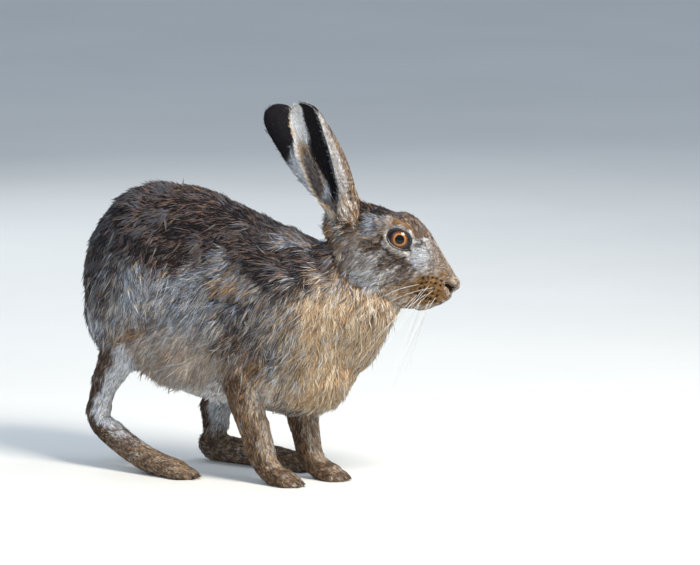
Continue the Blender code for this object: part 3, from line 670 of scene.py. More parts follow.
# As for the body, on the face plane.
FACE_MARKS = [
    (-18, -28, 38, 28, 0.5, 0.92, (9, 13, 3, 4, 24, 8, 36, 14, 9)),
    (-58, 0, 14, 22, 0.5, 0.8, (14, 18, 4, 12, 16, 10, 16, 8, 4)),
    (-50, 24, 12, 18, 0.5, 0.85, (20, 18, 4, 16, 10, 10, 12, 8, 3)),
    (-60, 26, 9, 20, 0.5, 0.85, (0, 1, 0, 4, 5, 10, 28, 28, 36)),
    (-70, 2, 5, 30, 0.5, 0.8, (4, 12, 8, 22, 6, 26, 5, 8, 1)),
    (-24, -34, 20, 9, 0.6, 0.92, (0, 2, 0, 2, 10, 9, 34, 24, 28)),
    (0, -56, 27, 14, 0.5, 0.96, (3, 12, 5, 28, 8, 34, 8, 17, 2)),
    (12, -22, 16, 12, 0.6, 0.6, (6, 16, 14, 18, 16, 12, 8, 2, 0)),
    (27, -31, 14, 10, 0.6, 0.85, (3, 9, 2, 6, 14, 12, 30, 18, 12)),
    (30, 2, 22, 16, 0.5, 0.9, (28, 26, 16, 13, 20, 9, 7, 2, 0)),
    (34, -14, 8, 14, 0.6, 0.8, (8, 16, 8, 9, 24, 16, 18, 6, 0)),
    (46, -28, 10, 16, 0.5, 0.85, (4, 14, 6, 14, 18, 24, 14, 10, 1)),
    (17, -19, 11, 12, 0.5, 0.98, (0, 1, 0, 0, 8, 1, 34, 8, 46)),
    (-40, 22, 20, 13, 0.5, 0.97, (50, 24, 3, 22, 4, 2, 0, 0, 0)),
    (-16, 25, 22, 8, 0.5, 0.99, (100, 8, 1, 0, 4, 0, 0, 0, 0)),
    (6, 23, 18, 6, 0.6, 0.93, (48, 28, 16, 3, 18, 2, 3, 0, 0)),
    (19, 15, 15, 7, 0.5, 0.9, (34, 28, 18, 10, 18, 4, 5, 1, 0)),
    (-31, 11, 7.5, 8.5, 0.5, 0.97, (5, 7, 0, 0, 28, 0, 46, 0, 10)),
    (-13, 15, 12, 3.5, 0.6, 0.8, (2, 5, 1, 3, 20, 6, 32, 12, 6)),
    # The next three dark marks lie in the grooves below the eye and between cheek and muzzle: painted shade
    # in these creases.
    (-26, -9, 9, 7, 0.6, 0.9, (44, 26, 2, 16, 8, 2, 2, 0, 0)),
    (-9, -25, 16, 6, 0.6, 0.85, (18, 30, 12, 14, 14, 4, 4, 0, 0)),
    (4, -33, 7, 12, 0.6, 0.7, (12, 28, 14, 14, 18, 8, 4, 0, 0)),
    (-31, -48, 14, 6, 0.6, 0.96, (0, 0, 0, 1, 4, 3, 22, 12, 54)),
    (-48, -40, 13, 5.5, 0.6, 0.94, (0, 1, 0, 0, 8, 3, 32, 10, 38)),
    (-10, -63, 18, 6.0, 0.6, 0.60, (0, 3, 0, 6, 8, 14, 20, 22, 22)),
    (28, -53, 19, 16, 0.25, 0.98, (15, 12, 0, 58, 0, 18, 0, 1, 0)),
    (47.5, -60, 2.6, 8, 0.5, 0.9, (0, 3, 1, 6, 8, 14, 18, 28, 14)),
    (43, -50, 1.4, 5.0, 0.5, 0.8, (0, 3, 1, 4, 8, 18, 14, 28, 10)),
    (27, -69, 16, 3.0, 0.5, 0.85, (0, 2, 1, 4, 8, 12, 16, 24, 16)),
    (54, -45, 5, 5, 0.5, 0.9, (0, 3, 2, 5, 8, 22, 16, 36, 12)),
]

# Relief of the face on its plane: path, radius and height, outwards where positive, in millimetres.
FACE_RELIEF = [
    ([(57, -57.0), (52.0, -60.5)], 4.0, -5.6),
    ([(52, -64), (47, -70)], 5.0, -1.6),
    ([(42, -60), (36, -66)], 6.0, 1.2),
    ([(-10, -61), (-1, -66)], 8.0, 6.0),
    ([(10, -69), (16, -70)], 7.0, 3.0),
    ([(-34, 37), (-20, 33), (-7, 30)], 9.0, -5.5),
    ([(32, -54), (24, -50)], 9.0, 1.0),
    ([(49, -44), (54, -47)], 3.0, 0.8),
    ([(43, -50), (45, -56)], 2.6, 1.0),
    ([(11, -23), (6, -34), (0, -47), (-4, -56)], 2.4, -1.1),
    ([(-6, -24), (-20, -17), (-28, -8)], 2.2, -0.9),
    ([(-22, 12), (-8, 15), (8, 12)], 3.2, 1.0),
    ([(-69, -2), (-66, -22), (-53, -40), (-35, -52), (-8, -70)], 2.4, -1.4),
]

# The nostril on the face plane: its upper edge, and the tail that runs down to the lip.
NOSTRIL = [(45.0, -48.6), (48.5, -50.6), (52.0, -51.4)]
NOSTRIL_TAIL = [(48.6, -51.0), (48.4, -54.6)]


def nostril_depth(h):
    """1 in the nostrils, fading to 0 at their edge."""
    edge, tail = (plane_distance(face_plane(h), path) for path in (NOSTRIL, NOSTRIL_TAIL))
    near = np.minimum(edge - 0.5, tail + 0.3)
    return (1 - step(near, 1.9, 2.7)) * step(np.abs(h[:, 1]), 0.0010, 0.0022)


def eye_marks(h, sign, ragged):
    """The rings round one eye, with the angle round it in degrees, 0 forward and 90 up."""
    x, y, z = (in_eye(h, sign) * 1000).T
    near = sign * y > -6
    r = lid_place(x / 1000, z / 1000) + 0.03 * ragged
    angle = np.degrees(np.arctan2(z, x + 1e-9))
    wide = 1.25 + 0.12 * np.abs(np.sin(np.radians(angle))) * step(-angle, -20, 20)
    ring = (1 - step(r, wide - 0.05, wide + 0.08)) * near
    band = between(r, (wide - 0.02, wide + 0.08), (wide + 0.30, wide + 0.55)) * near
    up = between(angle, (5, 60), (150, 175))
    front = 1 - step(np.abs(angle - 12), 30, 62)
    duct = spot(x, z, (LID_FORWARD * 1000 + 13.6, -4.6), (2.8, 1.5), 0.4) * near
    return [
        # The dark band below and behind the eye is painted shade.
        (band * between(-angle, (40, 75), (165, 179)) * 0.85, (30, 36, 6, 12, 8, 1, 0, 0, 0)),
        (band * between(angle, (10, 40), (120, 160)) * 0.90, (6, 14, 8, 46, 3, 12, 0, 1, 0)),
        (ring * 0.96, (0, 2, 1, 3, 9, 10, 18, 36, 18)),
        (ring * up * 0.9, (4, 10, 4, 9, 26, 10, 22, 8, 2)),
        (ring * front * 0.95, (0, 0, 0, 0, 4, 2, 22, 16, 46)),
        (duct, (50, 10, 0, 0, 0, 0, 0, 0, 0)),
    ]


def head_shares(h):
    """Head colours at points of the head's frame."""
    u, v = face_plane(h)
    ragged = 2.4 * waves(h, 0.016, 11) + 1.4 * waves(h, 0.006, 12)
    far_brow = (h[:, 1] > 0.001) * step(v, 13, 17) * between(u, (-34, -26), (16, 30))
    aside = np.abs(h[:, 1]) > 0.006
    dot = (50, 16, 2, 1, 0, 0, 0, 0, 0)
    dots = [(spot(u, v, at, (1.45, 1.25), 0.25) * aside * 0.96, dot) for at in PAD_SPOTS]
    return mixed([
        (1.0, (4, 14, 10, 18, 18, 16, 14, 6, 1)),
        *marks(FACE_MARKS, u + ragged, v + ragged),
        *eye_marks(h, -1, ragged),
        *eye_marks(h, 1, ragged),
        (0.92 * far_brow, (50, 30, 12, 6, 14, 1, 1, 0, 0)),
        *dots,
    ], len(h))


def lip_distances(h):
    """How far points of the head's frame lie from each side's mouth and from the lip's cleft."""
    mouth = [path_distance(h, np.array(MOUTH) * (1, sign, 1)) for sign in (-1, 1)]
    return mouth, path_distance(h, np.array(LIP_CLEFT))


def bare(h):
    """How bare and dark the head's skin is: nose, lips' edge, nostrils and rims of the lids."""
    mouth, cleft = lip_distances(h)
    dark = np.maximum(nostril_depth(h), 0.5 * (1 - step(np.minimum(*mouth), 0.0005, 0.0012)))
    for sign in (-1, 1):
        e = in_eye(h, sign)
        near = sign * e[:, 1] > -0.006
        dark = np.maximum(dark, (1 - step(lid_place(e[:, 0], e[:, 2]), 1.04, 1.12)) * near)
    return np.maximum(dark, 0.8 * (1 - step(cleft, 0.0006, 0.0014)))


def drawn(shares, luck, seed, even=0.16):
    """One colour for each tuft, by the shares at its root: luck runs from their darkest to their lightest.

    even is how far each colour is drawn to their mean.
    """
    even = np.broadcast_to(even, (len(luck),))[:, None]
    draw = np.random.default_rng(seed)
    luck = 1 / (1 + np.exp(-1.702 * (luck - luck.mean()) / luck.std()))
    total = np.cumsum(shares, 1)
    total /= total[:, -1:]
    index = (np.clip(luck, 0.001, 0.999)[:, None] > total).sum(1)
    tint = PALETTE[np.minimum(index, len(PALETTE) - 1)]
    mean = shares @ PALETTE
    return (tint + even * (mean - tint)) * np.exp(draw.normal(0, 0.12, len(luck)))[:, None]


def locks(roots, flow, count, seed, way):
    """Gathers tufts in locks drawn out along way: each tuft's lock, and its place along and across it."""
    draw = np.random.default_rng(seed)
    near = roots - 0.68 * (roots @ way)[:, None] * way
    centres = draw.choice(len(roots), count, replace=False)
    tree = KDTree(count)
    for k, i in enumerate(centres):
        tree.insert(near[i], k)
    tree.balance()
    lock = np.array([tree.find(q)[1] for q in near])
    offset = roots - roots[centres[lock]]
    along = (offset * flow).sum(1)
    return lock, along, offset - along[:, None] * flow, draw.normal(0, 1, count)[lock]


FLESH = [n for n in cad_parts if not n.startswith("eye_")]
TORSO = [n for n in FLESH if not n.startswith(("ear_", "head"))]


def plain(node):
    return node.removesuffix("_left").removesuffix("_right")


def nearest_part(points, nodes):
    """The name, without its side, of the solid nearest to each point."""
    verts, faces, owner = [], [], []
    for node in nodes:
        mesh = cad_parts[node].data
        base = len(verts)
        verts += [v.co.copy() for v in mesh.vertices]
        faces += [[base + i for i in poly.vertices] for poly in mesh.polygons]
        owner += [plain(node)] * len(mesh.polygons)
    tree = BVHTree.FromPolygons(verts, faces)
    return np.array([owner[tree.find_nearest(Vector(p))[2]] for p in points])


# The lie of the coat on the side plane: centre, half sizes, softness and the way it runs. Then by part.
LIES = [
    (-80, 160, 90, 70, 0.5, (-0.90, 0.0, -1.0)),
    (-60, 232, 90, 26, 0.5, (-1.0, 0.0, -0.40)),
    (-152, 225, 30, 34, 0.6, (-0.10, 0.0, -1.0)),
    (-186, 210, 20, 60, 0.6, (-0.35, 0.0, -1.0)),
    (-151, 192, 14, 28, 0.6, (0.30, 0.0, -1.0)),
    (-5, 150, 40, 50, 0.6, (-0.65, 0.0, -1.0)),
    (0, 225, 40, 26, 0.6, (-1.0, 0.0, -0.55)),
    (70, 150, 62, 80, 0.4, (-0.30, 0.0, -1.0)),
]


PART_LIES = {
    "forearm": (0.10, 0.0, -1.0),
    "fore_paw": (1.0, 0.0, -0.55),
    "shank": (-0.45, 0.0, -1.0),
    "hind_foot": (1.0, 0.0, -0.35),
    "tail": (-0.1, 0.0, -1.0),
}


def body_lie(p, n, part):
    """The way the coat lies on the body, before it is laid on the skin."""
    u, v = side_plane(p)
    lie = np.tile((-0.9, 0.0, -0.9), (len(p), 1))
    for row in LIES:
        there = spot(u, v, row[:2], row[2:4], row[4])[:, None]
        lie = lie * (1 - there) + np.array(row[5]) * there
    top = step(n[:, 2], 0.45, 0.90)[:, None]
    lie = lie * (1 - top) + np.array((-1.0, 0.0, -0.2)) * top
    for kind, way in PART_LIES.items():
        lie[part == kind] = way
    lie[(part == "neck") & (n[:, 2] > 0.5)] = (-1.0, -0.35, -0.3)
    return lie


# Relief of the coat on the side plane: path, radius and height, outwards where positive, in millimetres.
BODY_RELIEF = [
    ([(-64, 197), (-48, 192), (-33, 189)], 7.0, 3.2),
    ([(-68, 185), (-50, 179), (-33, 181)], 4.0, -3.2),
    ([(-22, 236), (0, 226), (16, 208)], 8.0, -4.0),
    ([(-40, 91), (-18, 116), (-5, 138)], 5.0, -3.0),
    ([(-167, 219), (-140, 171), (-131, 136)], 6.0, -2.6),
    ([(-152, 224), (-153, 196), (-150, 166)], 9.0, 2.4),
    ([(-60, 160), (-44, 142), (-40, 122)], 8.0, -2.6),
    ([(22, 240), (34, 236)], 8.0, 2.0),
    ([(52, 236), (56, 219), (69, 203), (88, 191)], 3.5, -2.4),
]

# How far forward the throat and the chest come at each height: height and shift in metres.
CHEST_FRONT = [
    (0.066, 0.0), (0.078, -0.0060), (0.087, -0.0115), (0.095, -0.0145), (0.105, -0.0140), (0.115, -0.0140),
    (0.124, -0.0160), (0.132, -0.0150), (0.140, -0.0120), (0.149, -0.0082), (0.158, -0.0035),
    (0.166, 0.0), (0.173, 0.0025), (0.180, 0.0040), (0.187, 0.0025), (0.194, 0.0),
]

# The pieces of the body's coat, each with the parts it covers and its slot. The back goes by height instead.
BODY_PIECES = {
    "coat_tail": (("tail",), "tail_fur"),
    "coat_legs": (("forearm", "fore_paw", "shank", "hind_foot"), "leg_fur"),
    "coat_chest": (("neck", "chest", "upper_arm", "head"), "chest_fur"),
    "coat_back": ((), "back_fur"),
    "coat_flank": ((), "flank_fur"),
}

BODY_FLESH = TORSO + ["head"]
LOCK_WAY = np.array([-0.6, 0.0, -0.8])


def dent(points, even, distance, radius, height):
    """Moves the points along even by that many metres on a path, less away from it."""
    return points + even * (height * np.exp(-((distance / radius) ** 2)))[:, None]


def reshaped(p, even, part, inside, sink, edges):
    """The body's skin drawn in under its coat and corrected in form."""

    def share(name, rounds):
        return spread((part == name).astype(float), edges, rounds)[:, 0]

    z = p[:, 2]
    shank = share("shank", 6)
    slim = 0.0034 * shank * between(z, (0.055, 0.080), (0.110, 0.140))
    aback = 0.0084 * shank * between(z, (0.028, 0.065), (0.118, 0.152))
    roof = 0.0045 * share("rump", 8) * step(even[:, 2], 0.72, 0.96)
    below = 1 - 0.75 * step(-even[:, 2], 0.1, 0.6)
    under = 0.0020 * step(inside, 0.55, 1.0)
    return p - even * (sink * below + under + slim + roof)[:, None] - np.outer(aback, (1.0, 0.0, 0.0))


def body_colours(p, n, part, edges):
    """The shares of each colour over the body's skin, blended where its parts meet."""
    shares = body_shares(p)
    for kinds in (("forearm", "fore_paw"), ("shank", "hind_foot")):
        own = spread(np.isin(part, kinds).astype(float), edges, 10)
        shares = shares * (1 - own) + leg_shares(p, kinds[0], n[:, 0]) * own
    own = spread((part == "tail").astype(float), edges, 2)
    return shares * (1 - own) + tail_shares(n) * own


def move_chest(p, inside):
    """Shifts the front of the chest, and less of what lies behind it, as CHEST_FRONT says for each height."""
    levels = np.linspace(0.06, 0.21, 31)
    torso = inside < 0.02
    fronts = [p[torso & (np.abs(p[:, 2] - z) < 0.006), 0].max() for z in levels]
    ahead = p[:, 0] - np.interp(p[:, 2], levels, fronts)
    shift = np.interp(p[:, 2], *np.array(CHEST_FRONT).T)
    p[:, 0] += shift * step(ahead, -0.065, -0.010) * (1 - step(inside, 0.2, 0.8))


def make_body():
    """The skin of body and legs with its coat."""
    obj = fused("skin", BODY_FLESH, [], BODY_VOXEL, BODY_ROUNDS, BODY_SWELL)
    p, n, edges = points_of(obj), normals_of(obj), edges_of(obj)
    part = nearest_part(p, BODY_FLESH)
    facts = spread(np.array([COAT[name] for name in part]), edges, 8)
    lie = spread(body_lie(p, n, part), edges, 6)
    head = (part == "head").astype(float)
    inside, h = spread(head, edges, 3)[:, 0], in_frame(p, HEAD_BACK)
    shares = body_colours(p, n, part, edges) * (1 - inside[:, None]) + head_shares(h) * inside[:, None]
    even = unit(spread(n, edges, 6))
    outer = step(np.abs(n[:, 1]), 0.15, 0.45) * (p[:, 2] > 0.09)
    for path, radius, height in BODY_RELIEF:
        p = dent(p, even, plane_distance(side_plane(p), path), radius, outer * height / 1000)
    p = reshaped(p, even, part, inside, facts[:, 0], edges)
    buried = step(spread(head, edges, 10)[:, 0], 0.80, 1.0)[:, None]
    core = np.array([0.0, 0.0, -0.016])
    p = p * (1 - buried) + in_frame((h - core) * np.array([0.90, 0.58, 0.66]) + core, HEAD) * buried
    move_chest(p, inside)
    p[:, 2] = np.maximum(p[:, 2], LOWEST_SKIN)
    set_points(obj, p)
    n = normals_of(obj)
    lie = unit(flat(lie, n))
    uv = unwrap(obj, (0.0, 0.0), (0.62, 1.0))
    paint(obj, shares @ PALETTE * BODY_SKIN_TONE)
    corners, share, place = scatter(obj, uv, BODY_TUFTS, facts[:, 4] * (1 - step(inside, 0.90, 1.0)))
    root, normal = read(p, corners, share), unit(read(n, corners, share))
    stand, length, width = (read(facts[:, k], corners, share) for k in (1, 2, 3))
    flow, mix = unit(read(lie, corners, share)), read(shares, corners, share)
    return obj, body_coat(root, normal, flow, mix, stand, length, width, place)


def body_coat(root, normal, flow, mix, stand, length, width, place):
    """The body's coat in its pieces, each with its slot: locks that part and lift, and a few stray hairs."""
    u, v = side_plane(root)
    back = step(v, 205, 235) * (1 - step(u, 40, 70))
    lock, along, across, mood = locks(root, flow, LOCKS, 24, LOCK_WAY)
    turn = np.random.default_rng(25).normal(0, 1, LOCKS)[lock]
    sway = (0.16 + 0.14 * back) * waves(root, 0.030, 21) + (0.10 + 0.12 * back) * waves(root, 0.011, 22)
    stray = rng.random(len(root)) < 0.015 * step(v, 95, 125)
    sway = sway + (0.10 + 0.16 * back) * turn + rng.normal(0, 0.09, len(root)) * (1 + 2.6 * stray)
    flow = unit(flat(swayed(flow, normal, sway), normal))
    length = length * np.exp(rng.normal(0, 0.20, len(root))) * (1 - 0.12 * back)
    flow = unit(flow + flat(-across * 0.45 / length[:, None], normal))
    broad = locks(root, flow, BROAD_LOCKS, 27, LOCK_WAY)[3]
    # Along each lock the colour runs from dark at its start to light at its tips: the light tips are the
    # hairs' own, the dark start is painted shade under the tips of the lock before it.
    luck = 0.13 * mood + (0.05 + 0.10 * back) * broad + (8 + 12 * back) * along
    luck = luck + 0.05 * waves(root, 0.004, 26) + rng.normal(0, 0.15, len(root))
    luck = luck / np.sqrt(0.052 + 0.025 * back)
    calm = 0.28 + 0.30 * spot(u, v, (-105, 128), (66, 32), 0.5) + 0.08 * spot(u, v, (60, 150), (60, 60), 0.3)
    tint = drawn(mix, luck, 31, calm)
    pale = (0.36 * np.array(CREAM) + 0.42 * np.array(SILVER)) * (1 - 0.62 * back)[:, None]
    tint = np.where(stray[:, None], pale, tint)
    length = length * (1 + 0.45 * stray)
    lift = 0.80 + 0.20 * waves(root, 0.013, 23) + 0.10 * mood + (0.06 + 0.24 * back) * broad
    lift = stand * (lift + rng.normal(0, 0.16, len(root)) + 22 * along)
    lift = np.clip(lift * (1 + 0.3 * stray), 0.0005, 0.011)
    guard = rng.random(len(root)) < 0.08
    tip = np.where(guard[:, None], tint * 0.3, tint * 1.10)
    # Tufts darken towards their roots like the hairs' own dark bases; the extra darkening on the back is
    # painted shade between its curls.
    colours = np.stack((tint * (0.34 - 0.14 * back)[:, None], tint * 0.92, tip))
    width = width * rng.uniform(0.55, 1.15, len(root)) * (1 - 0.6 * stray)
    names = nearest_part(root, BODY_FLESH)
    group = np.full(len(root), "coat_flank", dtype="<U12")
    group[back > 0.5] = "coat_back"
    for name, (kinds, _) in BODY_PIECES.items():
        group[np.isin(names, kinds) & (group != "coat_back")] = name
    coat = []
    for name, (_, slot) in BODY_PIECES.items():
        k = group == name
        made = tufts(name, root[k], normal[k], flow[k], length[k], width[k], lift[k], colours[:, k], place[k])
        coat += [(piece, slot) for piece in made]
    return coat


def refine(obj):
    """Splits the edges near the lids, the mouth and the nostrils."""
    h = in_frame(points_of(obj), HEAD_BACK)
    mouth, cleft = lip_distances(h)
    close = (np.minimum(np.minimum(*mouth), cleft) < 0.003) | (plane_distance(face_plane(h), NOSTRIL) < 5.0)
    for sign in (-1, 1):
        e = in_eye(h, sign)
        close |= (sign * e[:, 1] > -0.004) & (np.abs(lid_place(e[:, 0], e[:, 2]) - 1.05) < 0.22)

    def split(bm):
        edges = [e for e in bm.edges if close[e.verts[0].index] and close[e.verts[1].index]]
        bmesh.ops.subdivide_edges(bm, edges=edges, cuts=1, use_grid_fill=True)
        bmesh.ops.triangulate(bm, faces=bm.faces)

    changed(obj.data, split)


def open_eyes(h, edges):
    """Rests the skin's rims on the eyeballs and gives how free of a lid each point is, from 0 to 1."""
    free = np.ones(len(h))
    for sign in (-1, 1):
        e = in_eye(h, sign)
        x, out, z = e[:, 0], sign * e[:, 1], e[:, 2]
        r = lid_place(x, z)
        near = out > -0.004
        edge = np.maximum(r, 1)
        rim = ball_height(LID_FORWARD + (x - LID_FORWARD) / edge, z / edge) + 0.0008
        hold = (1 - step(r, 1.02, 1.40)) * near
        out = np.where(r < 1.0, ball_height(x, z) - 0.0030, out * (1 - hold) + rim * hold)
        moved = near & (r < 1.8)
        e[:, 1] = np.where(moved, sign * out, e[:, 1])
        h = np.where(moved[:, None], in_frame(e, eye_matrix(sign)), h)
        free = np.where(near, np.minimum(free, step(r, 1.04, 1.6)), free)
        loose = (between(r, (1.12, 1.30), (2.0, 2.7)) * near)[:, None]
        h = h * (1 - loose) + spread(h, edges, 30) * loose
    return h, free


def head_lie(h, first, edges):
    """The way the coat lies on the head. first is where each point was before the skin was formed."""
    a, b, c = first.T
    down = -0.30 - 1.2 * step(-c, 0.004, 0.034) - 0.5 * step(-a, 0.015, 0.040)
    lie = np.stack([-np.ones(len(h)), 0.25 * np.sign(b), down], 1)
    lie[(a > 0.030) & (c < -0.028)] = (-1.0, 0, -1.5)
    top = c > 0.005
    lie[top] = np.array([-1.0, 0, 0.1]) + np.outer(b[top], (0, 25.0, 0))
    for sign in (-1, 1):
        e = in_eye(h, sign)
        r = lid_place(e[:, 0], e[:, 2])
        away = turned(unit(e * (1, 0, 1)), eye_matrix(sign))
        up = turned(np.array([[0, 0, 1.0]]), eye_matrix(sign))
        pull = ((1 - step(r, 1.3, 2.0)) * (sign * e[:, 1] > -0.006))[:, None]
        lie = unit(lie)
        outward = (lie * away).sum(1)[:, None]
        past = unit(lie - outward * away + 0.25 * np.sign(e[:, 2])[:, None] * up)
        lie = lie * (1 - pull) + (past + away * np.maximum(outward, 0.15)) * pull
    return turned(spread(lie, edges, 5), HEAD)


def make_head():
    """The skin of the head, with lids, nostrils and mouth, and its coat."""
    stumps = []
    for side in ("right", "left"):
        axis, front, opening = ear_axes(side)
        stand = Matrix((front, opening, axis)).transposed().to_4x4()
        at = HEAD @ Vector(EAR_ROOT[side]) - axis * EAR_STUMP_DEPTH
        stumps.append(Matrix.Translation(at) @ stand @ Matrix.Diagonal((*EAR_STUMP, 1.0)))
    obj = fused("skin_head", ["head", "eye_left", "eye_right"], stumps, HEAD_VOXEL, HEAD_ROUNDS, HEAD_SWELL)
    refine(obj)
    p, n, edges = points_of(obj), normals_of(obj), edges_of(obj)
    first, hn = in_frame(p, HEAD_BACK), turned(n, HEAD_BACK)
    a, _, c = first.T
    depth = 0.0022 - 0.0016 * step(a, 0.010, 0.050) + 0.0012 * step(-a, 0.035, 0.055)
    depth += 0.0020 * step(-c, 0.030, 0.055) * (1 - step(a, 0.0, 0.03))
    length = 0.0062 - 0.0036 * step(a, 0.0, 0.050) + 0.0040 * step(-a, 0.030, 0.055)
    length += 0.0040 * step(-c, 0.030, 0.050) * (1 - step(a, 0.0, 0.04))
    length *= 1 - 0.45 * spot(*face_plane(first), (28, -53), (18, 16), 0.3)
    h, free = open_eyes(first, edges)
    for path, radius, height in FACE_RELIEF:
        h = dent(h, hn, plane_distance(face_plane(h), path), radius, height / 1000 * (h[:, 0] > -0.085))
    h = h - hn * (0.0034 * nostril_depth(h))[:, None]
    for sign in (-1, 1):
        for path, sink in ((MOUTH, 0.00035), (LIP_CLEFT, 0.00045)):
            h = dent(h, hn, path_distance(h, np.array(path) * (1, sign, 1)), 0.0008, -sink)
    h = h - unit(spread(hn, edges, 3)) * (depth * free)[:, None]
    p = in_frame(h, HEAD)
    set_points(obj, p)
    n = normals_of(obj)
    lie = unit(flat(head_lie(h, first, edges), n))
    shares, dark = head_shares(h), bare(h)
    uv = unwrap(obj, (0.64, 0.40), (0.36, 0.60))
    furred, bald = (1 - dark)[:, None], dark[:, None]
    paint(obj, shares @ PALETTE * HEAD_SKIN_TONE * furred + np.array(BARE_SKIN) * bald)
    weight = (1 - dark) * (1 + 2.6 * (1 - free)) * (1 + 0.9 * step(a, 0.02, 0.06))
    corners, share, place = scatter(obj, uv, HEAD_TUFTS, weight)
    root, normal = read(p, corners, share), unit(read(n, corners, share))
    sway = 0.16 * waves(root, 0.012, 41) + rng.normal(0, 0.12, len(root))
    flow = unit(flat(swayed(read(lie, corners, share), normal, sway), normal))
    mood = locks(root, flow, HEAD_LOCKS, 44, unit(flow.mean(0)))[3]
    luck = 0.15 * mood + 0.05 * waves(root, 0.010, 43) + rng.normal(0, 0.14, len(root))
    tint = drawn(read(shares, corners, share), luck, 51, 0.25)
    size = read(length, corners, share) * (0.30 + 0.70 * read(free, corners, share))
    size = size * np.exp(rng.normal(0, 0.20, len(root)))
    lift = np.maximum(read(depth * free, corners, share), 0.0004) * np.exp(rng.normal(0, 0.3, len(root)))
    colours = (tint * 0.40, tint, tint * np.where(rng.random(len(root)) < 0.20, 0.2, 1.08)[:, None])
    width = (0.00022 + 0.030 * size) * rng.uniform(0.7, 1.2, len(root))
    coat = tufts("coat_head", root, normal, flow, size, width, lift, colours, place)
    return obj, coat


def ear_axes(side):
    """Along the ear, towards its front, and out of its cup, in the body's frame."""
    sign = 1 if side == "left" else -1
    lean, splay, turn = (math.radians(value) for value in EAR_POSE[side])
    upright = math.cos(splay)
    axis = Vector((-math.sin(lean) * upright, sign * math.sin(splay), math.cos(lean) * upright))
    outward = Vector((0, sign, 0))
    outward = (outward - outward.dot(axis) * axis).normalized()
    forward = axis.cross(outward) * -sign
    opening = outward * math.cos(turn) - forward * math.sin(turn)
    front = forward * math.cos(turn) + outward * math.sin(turn)
    yaw = YAW.to_3x3()
    return yaw @ axis, yaw @ front, yaw @ opening


# The dark slot inside the ear: share of the length, and its rear and front edge as shares of the cup's arc.
EAR_DARK = [
    (0.08, 0.320, 0.350), (0.2, 0.30, 0.41), (0.3, 0.27, 0.45), (0.4, 0.235, 0.57), (0.5, 0.215, 0.60),
    (0.6, 0.215, 0.62), (0.7, 0.25, 0.64), (0.8, 0.30, 0.68), (0.9, 0.35, 0.75), (0.96, 0.43, 0.80),
]


def ear_shares(s, u, inner, far):
    """Ear colours by share of length, from rear rim 0 to front rim 1, inside and out."""
    wave = 0.012 * np.sin(40 * u + 9 * s)
    rim = (0, 1, 1, 8, 0, 20, 1, 36, 14)
    if inner:
        at, low, high = np.array(EAR_DARK).T
        low, high = np.interp(s, at, low), np.interp(s, at, high)
        slot = step(u + wave, low - 0.02, low + 0.03) * (1 - step(u, high - 0.02, high + 0.04))
        return mixed([
            (1.0, (0, 0, 0, 1, 2, 3, 14, 18, 76)),
            (spot(u, s, (0.09, 0.62), (0.09, 0.08), 0.6) * 0.8, (1, 6, 6, 20, 4, 32, 6, 12, 1)),
            (spot(u, s, (0.13, 0.40), (0.13, 0.23), 0.15) * 0.85, (0, 4, 8, 30, 3, 28, 1, 4, 0)),
            (spot(u, s, (0.13, 0.40), (0.10, 0.19), 0.35) * 0.95, (12, 18, 14, 5, 26, 6, 12, 3, 0)),
            (1 - step(s, 0.10, 0.20), (2, 5, 2, 8, 9, 16, 22, 22, 12)),
            (slot * step(s, 0.06, 0.12), (60, 10, 0, 0, 0, 0, 0, 0, 0)),
            ((1 - step(u, 0.022, 0.040)) * 0.9, rim),
        ], len(s))
    tip = step(s + wave, 0.86, 0.91)
    ripple = 0.5 + 0.5 * np.sin(64 * s + 5 * np.sin(11 * u)) * np.sin(23 * s + 9 * u)
    rear = 1 - (step(u, 0.68, 0.80) if far else step(u, 0.46, 0.60))
    fringe = step(u + 0.012 * np.sin(70 * s) * np.sin(31 * s), 0.845, 0.900)
    fleck = step(u + 0.08 * np.sin(60 * s) * np.sin(23 * s + 3), 0.58, 0.72)
    black = step(s + 0.05 * np.sin(7 * u + 1), 0.56, 0.66)
    return mixed([
        (1.0, (2, 10, 14, 30, 6, 26, 2, 6, 0)),
        (fleck * step(s, 0.05, 0.2) * 0.92, (36, 24, 8, 14, 10, 14, 8, 8, 1)),
        (rear, (0, 1, 0, 0, 8, 1, 26, 4, 50)),
        (rear * ripple * 0.45 * step(s, 0.2, 0.35), (8, 14, 1, 0, 26, 0, 16, 1, 2)),
        (1 - step(s, 0.06, 0.26), (3, 7, 3, 9, 11, 16, 26, 24, 16)),
        (spot(u, s, (0.77, 0.03), (0.15, 0.14), 0.6) * 0.75, (30, 22, 5, 22, 6, 8, 3, 2, 0)),
        (fringe * between(s, (0.16, 0.24), (0.86, 0.92)) * 0.88, (6, 9, 1, 3, 18, 6, 30, 12, 20)),
        ((1 - step(u, 0.012, 0.030)) * (1 - tip), rim),
        (np.maximum(tip, black * rear) if far else tip, (60, 8, 0, 0, 0, 0, 0, 0, 0)),
    ], len(s))


def ear_sheet(side, rows, u, inner):
    """The points of the ear's outside or inside, row by row."""
    axis, front, opening = (np.array(v) for v in ear_axes(side))
    s, wide, deep, rear_arc, front_arc = (rows[:, k][:, None] for k in range(5))
    inset = EAR_COAT
    if inner:
        thick = EAR_RIM + (EAR_THICK - EAR_RIM) * np.sin(math.pi * u)
        fold = 0.0006 * np.sin(7 * math.pi * u + 5 * s) * np.sin(math.pi * u) * np.sin(math.pi * s)
        inset = inset + np.minimum(thick, 0.5 * deep) + fold
    angle = np.radians(-rear_arc + (rear_arc + front_arc) * u)
    across = (wide - inset) * np.sin(angle)
    across = across * np.where((across < 0) & (side == "left"), FAR_EAR_REAR, 1.0)
    back = -(deep - inset) * np.cos(angle)
    along = s * EAR_LENGTH[side] - 0.0010 * (s > 0.99)
    grid = along[:, :, None] * axis + across[:, :, None] * front + back[:, :, None] * opening
    return (np.array(HEAD @ Vector(EAR_ROOT[side])) + grid).reshape(-1, 3)


